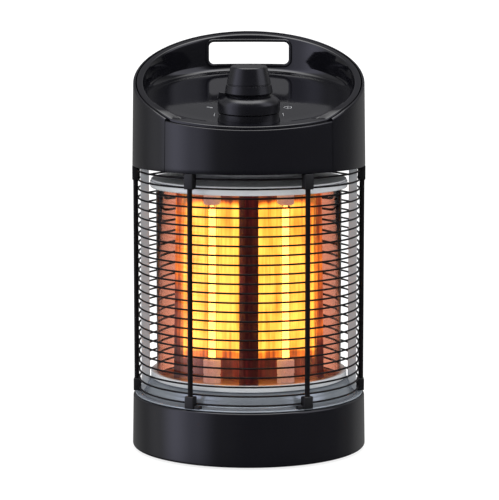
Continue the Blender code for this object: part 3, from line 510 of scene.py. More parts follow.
# ---- mesh helpers ------------------------------------------------------------------------
def around(radius: float, degrees: float, height: float = 0.0) -> Vector:
    """Find a point at an angle round from the front (-Y), towards +X.

    Args:
        radius: How far it is from the middle.
        degrees: The angle.
        height: Its height.

    Returns:
        The point.
    """
    turn = math.radians(degrees)
    return Vector((radius * math.sin(turn), -radius * math.cos(turn), height))


def arc(centre: tuple[float, float], radius: float, start: float, end: float,
        steps: int) -> Profile:
    """Points along an arc of a profile.

    Args:
        centre: The arc's centre.
        radius: Its radius.
        start: First angle in degrees, from the first axis.
        end: Last angle.
        steps: How many parts it is divided in.

    Returns:
        The points, ends included.
    """
    turns = [math.radians(start + (end - start) * i / steps) for i in range(steps + 1)]
    return [(centre[0] + radius * math.cos(t), centre[1] + radius * math.sin(t)) for t in turns]


def add_grid(solid: bmesh.types.BMesh, columns: Columns, wrap: bool, closed: bool,
             caps: bool = False) -> None:
    """Add a skin of quads over columns of points.

    Args:
        solid: The mesh to add to.
        columns: Columns with the same number of points.
        wrap: Whether the last column joins the first.
        closed: Whether each column is a closed loop.
        caps: Whether the end columns are filled.
    """
    made = [[solid.verts.new(point) for point in column] for column in columns]
    rows = len(columns[0])
    for c in range(len(made) if wrap else len(made) - 1):
        here, after = made[c], made[(c + 1) % len(made)]
        for r in range(rows if closed else rows - 1):
            nxt = (r + 1) % rows
            solid.faces.new((here[r], after[r], after[nxt], here[nxt]))
    if caps:
        solid.faces.new(made[0])
        solid.faces.new(list(reversed(made[-1])))


def mesh_object(name: str, solid: bmesh.types.BMesh, sharp: float = 32.0) -> bpy.types.Object:
    """Turn a bmesh to an object with smooth faces and sharp corners.

    Args:
        name: The object's name.
        solid: The mesh, which is freed.
        sharp: Edges over this angle in degrees stay sharp.

    Returns:
        The object, linked to the scene.
    """
    bmesh.ops.remove_doubles(solid, verts=solid.verts, dist=1e-6)
    bmesh.ops.dissolve_degenerate(solid, edges=solid.edges, dist=1e-7)
    bmesh.ops.recalc_face_normals(solid, faces=solid.faces)
    mesh = bpy.data.meshes.new(name)
    solid.to_mesh(mesh)
    solid.free()
    mesh.shade_smooth()
    mesh.set_sharp_from_angle(angle=math.radians(sharp))
    made = bpy.data.objects.new(name, mesh)
    bpy.context.scene.collection.objects.link(made)
    return made


def skinned(name: str, columns: Columns, wrap: bool = False, closed: bool = True,
            caps: bool = False, sharp: float = 32.0) -> bpy.types.Object:
    """Make an object whose skin runs over columns of points.

    Args:
        name: The object's name.
        columns: Columns with the same number of points.
        wrap: Whether the last column joins the first.
        closed: Whether each column is a closed loop.
        caps: Whether the end columns are filled.
        sharp: Edges over this angle in degrees stay sharp.

    Returns:
        The object.
    """
    solid = bmesh.new()
    add_grid(solid, columns, wrap, closed, caps)
    return mesh_object(name, solid, sharp)


def turn_columns(profile: Profile, count: int = ROUND) -> Columns:
    """Columns of a profile of (radius, height) points turned round Z.

    Args:
        profile: The points.
        count: How many columns go round.

    Returns:
        The columns.
    """
    return [[around(r, 360 * k / count, z) for r, z in profile] for k in range(count)]


def turned(name: str, profile: Profile, count: int = ROUND, closed: bool = True,
           sharp: float = 32.0) -> bpy.types.Object:
    """Turn a profile round Z.

    Args:
        name: The object's name.
        profile: (radius, height) points; an open profile starts and ends on the axis.
        count: Columns round the piece.
        closed: Whether the profile is a closed loop.
        sharp: Edges over this angle in degrees stay sharp.

    Returns:
        The object.
    """
    return skinned(name, turn_columns(profile, count), wrap=True, closed=closed, sharp=sharp)


def tube_columns(path: Sequence[Vector], radius: float, sides: int) -> Columns:
    """Columns of a round wire along a path.

    Args:
        path: The points of its middle line.
        radius: The wire's radius.
        sides: Points round the wire.

    Returns:
        One closed column for each point of the path.
    """
    columns = []
    side = None
    for k, point in enumerate(path):
        ahead = path[min(k + 1, len(path) - 1)] - path[max(k - 1, 0)]
        ahead.normalize()
        side = (side or ahead.orthogonal()) - ahead * ahead.dot(side or ahead.orthogonal())
        side.normalize()
        other = ahead.cross(side)
        columns.append([point + radius * (side * math.cos(t) + other * math.sin(t))
                        for t in (2 * math.pi * j / sides for j in range(sides))])
    return columns


def add_block(solid: bmesh.types.BMesh, low: Sequence[float], high: Sequence[float],
              bevel: float, place: Matrix = Matrix.Identity(4)) -> None:
    """Add a block with rounded edges.

    Args:
        solid: The mesh to add to.
        low: Its lowest corner.
        high: Its highest corner.
        bevel: Radius of its edges.
        place: Where the finished block goes.
    """
    part = bmesh.new()
    bmesh.ops.create_cube(part, size=1.0)
    bmesh.ops.scale(part, vec=Vector(high) - Vector(low), verts=part.verts)
    bmesh.ops.translate(part, vec=(Vector(high) + Vector(low)) / 2, verts=part.verts)
    bmesh.ops.bevel(part, geom=part.edges[:], offset=bevel, segments=3, profile=0.5,
                    affect="EDGES", clamp_overlap=True)
    bmesh.ops.transform(part, matrix=place, verts=part.verts)
    mesh = bpy.data.meshes.new("block")
    part.to_mesh(mesh)
    part.free()
    solid.from_mesh(mesh)
    bpy.data.meshes.remove(mesh)


def on_joint(name: str, lift: float = 0.0) -> Matrix:
    """Find where a joint's pieces stand, with +Z along its axis.

    Args:
        name: The joint.
        lift: How far up the axis from the joint's point.

    Returns:
        The place.
    """
    joint = next(entry for entry in frame["joints"] if entry["name"] == name)
    up = Vector(joint["axis"]).normalized()
    turn = Vector((0, 0, 1)).rotation_difference(up).to_matrix().to_4x4()
    return Matrix.Translation(Vector(joint["pos_m"]) + up * lift) @ turn


def carve(piece: bpy.types.Object, cutter: bpy.types.Object, sharp: float = 32.0) -> None:
    """Cut a piece with another and keep the result as its mesh.

    Args:
        piece: The piece to cut.
        cutter: What is cut away, which is removed afterwards.
        sharp: Edges over this angle in degrees stay sharp.
    """
    step = piece.modifiers.new("cut", "BOOLEAN")
    step.operation = "DIFFERENCE"
    step.object = cutter
    bpy.context.view_layer.update()
    graph = bpy.context.evaluated_depsgraph_get()
    mesh = bpy.data.meshes.new_from_object(piece.evaluated_get(graph))
    piece.modifiers.clear()
    piece.data = mesh
    bpy.data.objects.remove(cutter)
    mesh.shade_smooth()
    mesh.set_sharp_from_angle(angle=math.radians(sharp))


class SubAssembly:
    """A group of pieces that are made together."""

    body = Body.ROOT

    def keep(self, piece: bpy.types.Object, finish: Finish, slot: Slot,
             stands_for: Iterable[str] = ()) -> bpy.types.Object:
        """Dress a piece and set it on its body.

        Args:
            piece: The new piece, in place.
            finish: Its finish.
            slot: The record's slot that the finish belongs to; not used.
            stands_for: CAD nodes that it replaces.

        Returns:
            The piece.
        """
        piece.data.materials.clear()
        piece.data.materials.append(finish.material())
        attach(piece, self.body.value)
        if stands_for:
            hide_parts(*stands_for)
        LOG.info("made %s in %s", piece.name, finish.name)
        return piece

    def dress(self, nodes: Iterable[str], finish: Finish) -> None:
        """Give CAD nodes that stay as they are a finish.

        Args:
            nodes: Their names.
            finish: The finish.
        """
        for name in nodes:
            node = frame["nodes"][name]
            node.data.materials.clear()
            node.data.materials.append(finish.material())
            for face in node.data.polygons:
                face.material_index = 0
            LOG.info("dressed %s in %s", name, finish.name)


# ---- base ----------------------------------------------------------------------------------
@dataclass
class BaseDrum(SubAssembly):
    """The drum that the heater stands on, with its cover, feet and cable inlet."""

    wall: float = 3 * MM
    corner: float = 3 * MM
    flare: float = 1 * MM
    hole_r: float = 76.4 * MM       # the opening under the heating chamber
    inlet_flange: float = 2.7 * MM  # how far the cable inlet covers the wall
    cut_length: float = 50 * MM
    foot_edge: float = 1.2 * MM
    foot_pad: float = 1.7 * MM      # the wide part that stands proud of the base
    sole_depth: float = 0.4 * MM

    def build(self) -> None:
        """Make every piece of the base."""
        self.shell()
        self.feet()
        self.dress(("base_cover", "cable_inlet", "tilt_switch_case"), GRAINED_ABS)
        self.dress([f"cover_screw_{k}" for k in range(1, 5)], ZINC)
        self.dress(("terminal_block",), BAKELITE)
        self.dress(("pendulum_pin", "tilt_pendulum"), ZINC)

    def shell(self) -> None:
        """The moulded drum: rounded top and bottom edges and a slight flare."""
        low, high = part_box("base_shell")
        bottom_r, top_r = high.x, high.x - self.flare
        profile = [(self.hole_r, high.z)]
        profile += arc((top_r - self.corner, high.z - self.corner), self.corner, 90, 0, 8)
        profile += arc((bottom_r - self.corner, low.z + self.corner), self.corner, 0, -90, 8)
        profile += [(bottom_r - self.wall, low.z), (top_r - self.wall, high.z - self.wall),
                    (self.hole_r, high.z - self.wall)]
        shell = turned("base_shell_skin", profile)
        inlet_low, inlet_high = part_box("cable_inlet")
        centre = (inlet_low + inlet_high) / 2
        hole_r, length = (inlet_high.x - inlet_low.x) / 2 - self.inlet_flange, self.cut_length
        hole = turned("inlet_hole", [(0, 0), (hole_r, 0), (hole_r, length), (0, length)], 48, False)
        hole.matrix_world = (Matrix.Translation((0, centre.y, centre.z))
                             @ Matrix.Rotation(math.radians(-90), 4, "X"))
        carve(shell, hole)
        self.keep(shell, GLOSS_ABS, Slot.GLOSS, ["base_shell"])

    def feet(self) -> None:
        """Four rubber feet with rounded edges and a shallow ring in the sole."""
        for number in range(1, 5):
            low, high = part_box(f"rubber_foot_{number}")
            centre = (low + high) / 2
            r = (high.x - low.x) / 2
            pad = self.foot_pad
            profile = [(0, self.sole_depth), (r * 0.55, self.sole_depth), (r * 0.6, 0)]
            profile += arc((r - self.foot_edge, self.foot_edge), self.foot_edge, -90, 0, 5)
            profile += [(r, pad), (r * 0.66, pad), (r * 0.66, high.z), (0, high.z)]
            foot = turned(f"rubber_foot_{number}_sole", profile, 40, closed=False)
            foot.location = (centre.x, centre.y, 0)
            self.keep(foot, RUBBER, Slot.RUBBER, [f"rubber_foot_{number}"])


# ---- heating chamber -------------------------------------------------------------------------
@dataclass
class HeatChamber(SubAssembly):
    """Dish, collars, glass, plates, pedestal and cap of the heating chamber."""

    sheet: float = 1 * MM
    dish_lip: float = 0.9 * MM      # radius of the dish's rolled edge
    cap_lip: float = 1.2 * MM       # radius of the cap's rolled edge
    post_play: float = 0.3 * MM     # gap between a post and its notch in the dish
    collar_seat: float = 3.6 * MM   # how far a collar reaches under the glass's end
    collar_bead: float = 1.8 * MM
    glass_play: float = 0.3 * MM
    glass_wall: float = 2.2 * MM
    glass_rim: float = 0.8 * MM
    plate_edge: float = 0.4 * MM
    conduit_r: float = 6.3 * MM     # hole in the plates for the wire conduit
    neck_r: float = 66 * MM
    shoulder_share: float = 0.42    # where the neck meets the cap's slope, up its height

    def build(self) -> None:
        """Make every piece of the chamber."""
        self.dish()
        self.collars()
        self.glass()
        self.plates()
        self.cap()
        self.dress(("wire_conduit",), PLATED_STEEL)

    def dish(self) -> None:
        """The spun dish that the glass's lower collar stands on."""
        low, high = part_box("lower_dish")
        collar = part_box("lower_glass_collar")[1].x
        edge, base, top = high.x, low.z, high.z
        lip = self.dish_lip
        bowl = [(collar - 6 * MM, top), (collar, top - 2 * MM), (collar + 3 * MM, top - 5.5 * MM),
                (collar + 5 * MM, base + 9 * MM), (collar + 7.5 * MM, base + 4.4 * MM),
                (collar + 11 * MM, base + self.sheet)]
        flange = [(edge - lip - 2.4 * MM, base + self.sheet)]
        rolled = arc((edge - lip, base + lip), lip, 110, -90, 8)
        under = [(r - lip, z - lip) for r, z in reversed(bowl)]
        dish = turned("spun_dish", bowl + flange + rolled + under, sharp=50)
        grow = Vector((self.post_play,) * 3)
        for post in ("post_left", "post_right"):
            post_low, post_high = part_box(post)
            solid = bmesh.new()
            add_block(solid, post_low - grow, post_high + grow, 0.1 * MM)
            carve(dish, mesh_object("post_notch", solid), 50)
        self.keep(dish, SPUN_STEEL, Slot.DISH, ["lower_dish"])

    def collars(self) -> None:
        """Two bright rings round the glass's ends, with rounded beads."""
        for place, up in (("lower", 1), ("upper", -1)):
            low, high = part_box(f"{place}_glass_collar")
            outer = high.x
            glass_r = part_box("glass_cylinder")[1].x
            seat, top = (low.z, high.z) if up > 0 else (high.z, low.z)
            bead, inner = self.collar_bead * up, glass_r - self.collar_seat
            fit = glass_r + self.glass_play
            profile = [(inner, seat), (outer - 0.5 * MM, seat),
                       (outer, seat + 0.5 * MM * up), (outer, top - bead)]
            profile += [(outer - abs(bead) + abs(bead) * math.cos(t), top - bead + bead * math.sin(t))
                        for t in (math.radians(15 * k) for k in range(1, 7))]
            profile += [(glass_r + 1.2 * MM, top - 0.8 * MM * up), (fit, top - 1.4 * MM * up),
                        (fit, seat + self.sheet * up), (inner, seat + self.sheet * up)]
            ring = turned(f"{place}_collar_ring", profile, sharp=50)
            self.keep(ring, SATIN_RING, Slot.COLLAR, [f"{place}_glass_collar"])

    def glass(self) -> None:
        """The glass tube, with fire-polished rims."""
        low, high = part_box("glass_cylinder")
        outer, wall, rim = high.x, self.glass_wall, self.glass_rim
        profile = [(outer, low.z + rim)] + arc((outer - rim, high.z - rim), rim, 0, 90, 4)
        profile += arc((outer - wall + rim, high.z - rim), rim, 90, 180, 4)
        profile += arc((outer - wall + rim, low.z + rim), rim, 180, 270, 4)
        profile += arc((outer - rim, low.z + rim), rim, 270, 345, 4)
        self.keep(turned("glass_tube", profile), TUBE_GLASS, Slot.GLASS, ["glass_cylinder"])

    def plates(self) -> None:
        """The chamber's floor and ceiling, and the pedestal under the floor."""
        for place in ("lower", "upper"):
            low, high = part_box(f"{place}_lamp_plate")
            edge, hole_r = self.plate_edge, self.conduit_r
            profile = [(hole_r, high.z), (high.x - edge, high.z), (high.x, high.z - edge),
                       (high.x, low.z + edge), (high.x - edge, low.z), (hole_r, low.z)]
            self.keep(turned(f"{place}_chamber_plate", profile), MIRROR, Slot.COLLAR,
                      [f"{place}_lamp_plate"])
        low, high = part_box("lamp_pedestal")
        profile = [(high.x, high.z), (high.x, low.z), (high.x - self.sheet, low.z),
                   (high.x - self.sheet, high.z)]
        self.keep(turned("pedestal_drum", profile), SPUN_STEEL, Slot.DISH, ["lamp_pedestal"])

    def cap(self) -> None:
        """The polished cap and neck between the glass and the top housing."""
        low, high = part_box("upper_cap")
        edge, neck, lip = high.x, self.neck_r, self.cap_lip
        shoulder = low.z + (high.z - low.z) * self.shoulder_share
        outer = [(neck, high.z), (neck, shoulder + 2 * MM), (neck + 1.2 * MM, shoulder + 0.6 * MM),
                 (neck + 4 * MM, shoulder), (edge - 14 * MM, low.z + 3.4 * MM),
                 (edge - 10 * MM, low.z + 2.6 * MM)]
        rolled = arc((edge - lip, low.z + lip), lip, 100, -90, 7)
        inner = [(edge - 12 * MM, low.z + 1.4 * MM), (neck - self.sheet, shoulder - self.sheet),
                 (neck - self.sheet, high.z)]
        cap = turned("polished_cap", outer + rolled + inner, sharp=50)
        self.keep(cap, SATIN_RING, Slot.COLLAR, ["upper_cap"])


@dataclass
class QuartzLamp(SubAssembly):
    """One quartz lamp: a clear tube with a hot coil, held in two ceramic ends."""

    place: str                      # such as "front_left"
    tube_r: float = 5.7 * MM
    tube_wall: float = 0.8 * MM
    coil_r: float = 3.9 * MM
    coil_wire: float = 0.8 * MM
    coil_pitch: float = 2.4 * MM
    coil_points: int = 12           # points on each turn of the coil
    end_length: float = 27 * MM
    end_overlap: float = 6 * MM     # how far the tube reaches into its ends
    bore_depth: float = 2 * MM
    chamfer: float = 0.6 * MM
    rib_up: float = 8 * MM          # where the groove round an end starts
    rib_depth: float = 0.7 * MM
    prong: float = 2.2 * MM         # how far the springs stand out of an end
    prong_root: float = 1 * MM
    prong_half: float = 0.9 * MM
    prongs: int = 6

    def build(self) -> None:
        """Make the lamp's pieces."""
        node = f"lamp_{self.place}"
        low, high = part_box(node)
        self.axis = Vector(((low.x + high.x) / 2, (low.y + high.y) / 2, 0))
        self.end_r = (high.x - low.x) / 2
        self.low, self.high = low.z, high.z
        self.tube(node)
        self.coil(node)
        self.ends(node)

    def tube(self, node: str) -> None:
        """The quartz tube, which stands for the lamp's CAD solid.

        Args:
            node: The lamp's CAD node.
        """
        inset = self.end_length - self.end_overlap
        low, high = self.low + inset, self.high - inset
        r, inner = self.tube_r, self.tube_r - self.tube_wall
        tube = turned(f"{node}_quartz", [(r, low), (r, high), (inner, high), (inner, low)], 40)
        tube.location = self.axis
        self.keep(tube, QUARTZ, Slot.LAMP, [node])

    def coil(self, node: str) -> None:
        """The glowing coil and the bright sleeve of light round it.

        Args:
            node: The lamp's CAD node.
        """
        low, high = self.low + self.end_length, self.high - self.end_length
        r, taper = self.coil_r, 1 * MM
        core = [(0, high), (r, high - taper), (r, low + taper), (0, low)]
        solid = bmesh.new()
        add_grid(solid, turn_columns(core, 24), wrap=True, closed=False)
        turns = (high - low) / self.coil_pitch
        count = int(turns * self.coil_points)
        path = [Vector((r * math.cos(2 * math.pi * turns * k / count),
                        r * math.sin(2 * math.pi * turns * k / count),
                        low + (high - low) * k / count)) for k in range(count + 1)]
        add_grid(solid, tube_columns(path, self.coil_wire, 5), wrap=False, closed=True, caps=True)
        coil = mesh_object(f"{node}_hot_coil", solid, 60)
        coil.location = self.axis
        self.keep(coil, HOT_COIL, Slot.LAMP)

    def ends(self, node: str) -> None:
        """Ceramic ends: grooved sleeves with spring prongs round the tube.

        Args:
            node: The lamp's CAD node.
        """
        r, length, edge, rib = self.end_r, self.end_length, self.chamfer, self.rib_depth
        bore, bottom = self.tube_r + 0.3 * MM, length - self.bore_depth
        steps = [(0, 0), (r - edge, 0), (r, edge), (r, self.rib_up), (r - rib, self.rib_up + edge),
                 (r - rib, self.rib_up + 2 * MM), (r, self.rib_up + 2 * MM + edge),
                 (r, length - 2 * edge), (r - 2 * edge, length), (bore, length), (bore, bottom),
                 (0, bottom)]
        for name, seat, up in (("foot", self.low, 1), ("head", self.high, -1)):
            profile = [(reach, seat + rise * up) for reach, rise in steps]
            end = turned(f"{node}_{name}", profile, 48, closed=False)
            end.location = self.axis
            self.keep(end, STEATITE, Slot.LAMP)
            tip = seat + (length + self.prong) * up
            root = seat + (length - self.prong_root) * up
            low = (self.tube_r + 0.8 * MM, -self.prong_half, min(tip, root))
            high = (self.tube_r + 1.4 * MM, self.prong_half, max(tip, root))
            solid = bmesh.new()
            for k in range(self.prongs):
                spin = Matrix.Rotation(math.radians(360 / self.prongs * k), 4, "Z")
                add_block(solid, low, high, 0.15 * MM, Matrix.Translation(self.axis) @ spin)
            self.keep(mesh_object(f"{node}_{name}_springs", solid), ZINC, Slot.LAMP)


@dataclass
class Reflector(SubAssembly):
    """One polished sheet: half a ridge, a half-round trough and half a ridge."""

    place: str                      # such as "front_left"
    quarter: int                    # quarter turns from the front right
    tip_r: float = 90 * MM          # how far the ridges' tips are from the middle
    tip_half: float = 11.3 * MM     # half the width of a ridge at its foot
    ridge_fall: float = 0.7         # depth of a ridge for each part of that half width
    clear: float = 3 * MM           # gap between the sheet and the middle
    sheet: float = 0.8 * MM
    steps: int = 64
    rows: int = 120
    coil_end: float = 33 * MM       # where the painted coil light starts above the sheet's bottom
    head_end: float = 31 * MM       # where it ends below the sheet's top
    direct: float = 0.93            # painted lamp light on the trough, on the folds and past the coil
    folded: float = 0.07
    side_fold: float = 0.50
    spill: float = 0.60
    reflected: float = 0.24
    shade: float = 0.22             # painted shade at the trough's edges, and how wide it is
    shade_width: float = 14 * MM
    spill_reach: float = 9 * MM     # how far the painted light spills below the coil

    def outline(self) -> list[Vector]:
        """The sheet's plan, for the front right quarter.

        Returns:
            Its points, from the front ridge to the side ridge.
        """
        base = self.tip_r - self.tip_half * self.ridge_fall
        reach = self.tip_half + base - self.clear
        middle = reach - math.sqrt(reach ** 2 - self.tip_half ** 2 - base ** 2 + self.clear ** 2)
        centre = Vector((middle, -middle, 0))
        first = Vector((self.tip_half, -base, 0)) - centre
        last = Vector((base, -self.tip_half, 0)) - centre
        start = math.atan2(first.y, first.x)
        sweep = (math.atan2(last.y, last.x) - start) % (2 * math.pi) - 2 * math.pi
        points = [Vector((0.3 * MM, -self.tip_r, 0))]
        for i in range(self.steps + 1):
            turn = start + sweep * i / self.steps
            points.append(centre + first.length * Vector((math.cos(turn), math.sin(turn), 0)))
        points.append(Vector((self.tip_r, -0.3 * MM, 0)))
        return points

    def build(self) -> None:
        """Make the sheet with its two folded ridges."""
        node = f"reflector_{self.place}"
        low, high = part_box(node)
        heights = [low.z + (high.z - low.z) * k / self.rows for k in range(self.rows + 1)]
        columns = [[spot + Vector((0, 0, z)) for z in heights] for spot in self.outline()]
        sheet = skinned(f"{node}_sheet", columns, closed=False, sharp=30)
        if sheet.data.polygons[0].normal.dot(Vector((1, -1, 0))) < 0:
            sheet.data.flip_normals()
        sheet.data.transform(Matrix.Rotation(math.radians(90 * self.quarter), 4, "Z"))
        self.paint_lamp_glow(sheet, low.z, high.z)
        skin = sheet.modifiers.new("sheet", "SOLIDIFY")
        skin.thickness = self.sheet
        skin.offset = -1.0
        self.keep(sheet, GLOW_PAINTED_MIRROR, Slot.REFLECTOR, [node])

    def paint_lamp_glow(self, sheet: bpy.types.Object, low: float, high: float) -> None:
        """Paint on each point of the sheet how much lamp glow it shows, from 0 to 1.

        Args:
            sheet: The sheet, in place.
            low: Its bottom.
            high: Its top.
        """
        store = sheet.data.attributes.new(GLOW_PAINTED_MIRROR.level, "FLOAT", "POINT")
        first, last = low + self.coil_end, high - self.head_end
        fold = math.hypot(self.tip_half, self.tip_half * self.ridge_fall)
        tips = [around(self.tip_r, 90 * k) for k in range(4)]

        def step(value: float, edge: float, soft: float) -> float:
            """Rise from 0 to 1 over an edge.

            Args:
                value: Where the point is.
                edge: Where the middle of the rise is.
                soft: How long the rise is.

            Returns:
                The height of the rise at the point.
            """
            return min(1.0, max(0.0, (value - edge) / soft + 0.5))

        for point, corner in zip(store.data, sheet.data.vertices):
            spot = Vector((corner.co.x, corner.co.y, 0))
            z = corner.co.z
            from_tip = min((spot - tip).length for tip in tips)
            # the folds get a low painted glow and the trough a bright one, with painted shade at its
            # edges and a painted spill below the coil
            if from_tip <= fold + 0.5 * MM:
                share = min(1.0, max(0.0, (z - first) / (last - first) * 8))
                lit = self.side_fold if abs(spot.x) > abs(spot.y) else self.folded
                point.value = self.folded + (lit - self.folded) * share
                continue
            full = self.direct - self.shade * (1 - step(from_tip, fold + 6 * MM, self.shade_width))
            below = self.reflected + (self.spill - self.reflected) * step(z, first - self.spill_reach,
                                                                          1.5 * MM)
            level = below + (full - below) * step(z, first, 2 * MM)
            point.value = level + (self.reflected - level) * step(z, last, 7 * MM)


# ---- guard and posts ---------------------------------------------------------------------------
ROD_ANGLES = (30, 90, 150, 210, 270, 330)


@dataclass
class WireGuard(SubAssembly):
    """Twenty-five wire rings on six upright rods."""

    ring_wire: float = 2.3 * MM
    ring_r: float = 133.4 * MM
    count: int = 25
    rod_r: float = 3 * MM
    rod_tip: float = 1 * MM         # chamfer of the rods' ends
    rod_ring_r: float = 136.65 * MM

    def build(self) -> None:
        """Make the rings and the rods."""
        low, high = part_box("guard_cage")
        first, last = low.z + self.ring_wire, high.z - self.ring_wire
        solid = bmesh.new()
        for number in range(self.count):
            height = first + (last - first) * number / (self.count - 1)
            section = arc((self.ring_r, height), self.ring_wire / 2, 0, 315, 7)
            add_grid(solid, turn_columns(section, 120), wrap=True, closed=True)
        self.keep(mesh_object("guard_rings", solid, 80), COATED_WIRE, Slot.WIRE, ["guard_cage"])
        solid = bmesh.new()
        r, tip = self.rod_r, self.rod_tip
        profile = [(0, low.z), (r - tip, low.z), (r, low.z + tip), (r, high.z - tip),
                   (r - tip, high.z), (0, high.z)]
        for angle in ROD_ANGLES:
            spot = around(self.rod_ring_r, angle)
            columns = [[point + spot for point in column] for column in turn_columns(profile, 20)]
            add_grid(solid, columns, wrap=True, closed=False)
        self.keep(mesh_object("guard_rods", solid, 40), COATED_WIRE, Slot.WIRE)


@dataclass
class RodClips(SubAssembly):
    """Moulded clips over the rods' ends."""

    width: float = 12 * MM
    inner: float = 131.55 * MM      # distance of its back and of its face from the middle
    outer: float = 140.55 * MM
    edge: float = 1.1 * MM
    lug: float = 7 * MM
    lug_height: float = 4 * MM
    lug_sides: dict[int, int] = field(default_factory=lambda: {30: -1, 150: 1, 210: -1, 330: 1})

    def build(self) -> None:
        """Make all twelve clips."""
        for place in ("lower", "upper"):
            for number, angle in enumerate(ROD_ANGLES):
                self.clip(place, number + 1, angle)

    def clip(self, place: str, number: int, angle: int) -> None:
        """One clip: a rounded block, and a lug if it has one.

        Args:
            place: "lower" or "upper".
            number: The clip's number.
            angle: Where it stands, in degrees from the front.
        """
        low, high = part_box(f"{place}_clip_{number}")
        half = self.width / 2
        spin = Matrix.Rotation(math.radians(angle), 4, "Z")
        solid = bmesh.new()
        add_block(solid, (-half, -self.outer, low.z), (half, -self.inner, high.z), self.edge, spin)
        if place == "lower" and angle in self.lug_sides:
            side = self.lug_sides[angle]
            near, far = sorted((0, side * (half + self.lug)))
            add_block(solid, (near, -self.outer + 2 * MM, low.z),
                      (far, -self.inner, low.z + self.lug_height), 0.8 * MM, spin)
        clip = mesh_object(f"{place}_clip_{number}_cap", solid, 40)
        self.keep(clip, GRAINED_ABS, Slot.CLIP, [f"{place}_clip_{number}"])


@dataclass
class SidePosts(SubAssembly):
    """Two folded channels that carry the top housing."""

    wall: float = 1.5 * MM
    fold: float = 0.9 * MM

    def build(self) -> None:
        """Make both posts: a channel whose open side faces the glass."""
        for place, side in (("left", -1), ("right", 1)):
            low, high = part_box(f"post_{place}")
            near, far = sorted((abs(low.x), abs(high.x)))
            half, w, f = high.y, self.wall, self.fold
            outline = [(near, -half)] + arc((far - f, -half + f), f, -90, 0, 4)
            outline += arc((far - f, half - f), f, 0, 90, 4)
            outline += [(near, half), (near, half - w), (far - w, half - w), (far - w, -half + w),
                        (near, -half + w)]
            columns = [[Vector((side * x, y, z)) for x, y in outline] for z in (low.z, high.z)]
            post = skinned(f"channel_post_{place}", columns, caps=True)
            self.keep(post, PLATED_STEEL, Slot.POST, [f"post_{place}"])


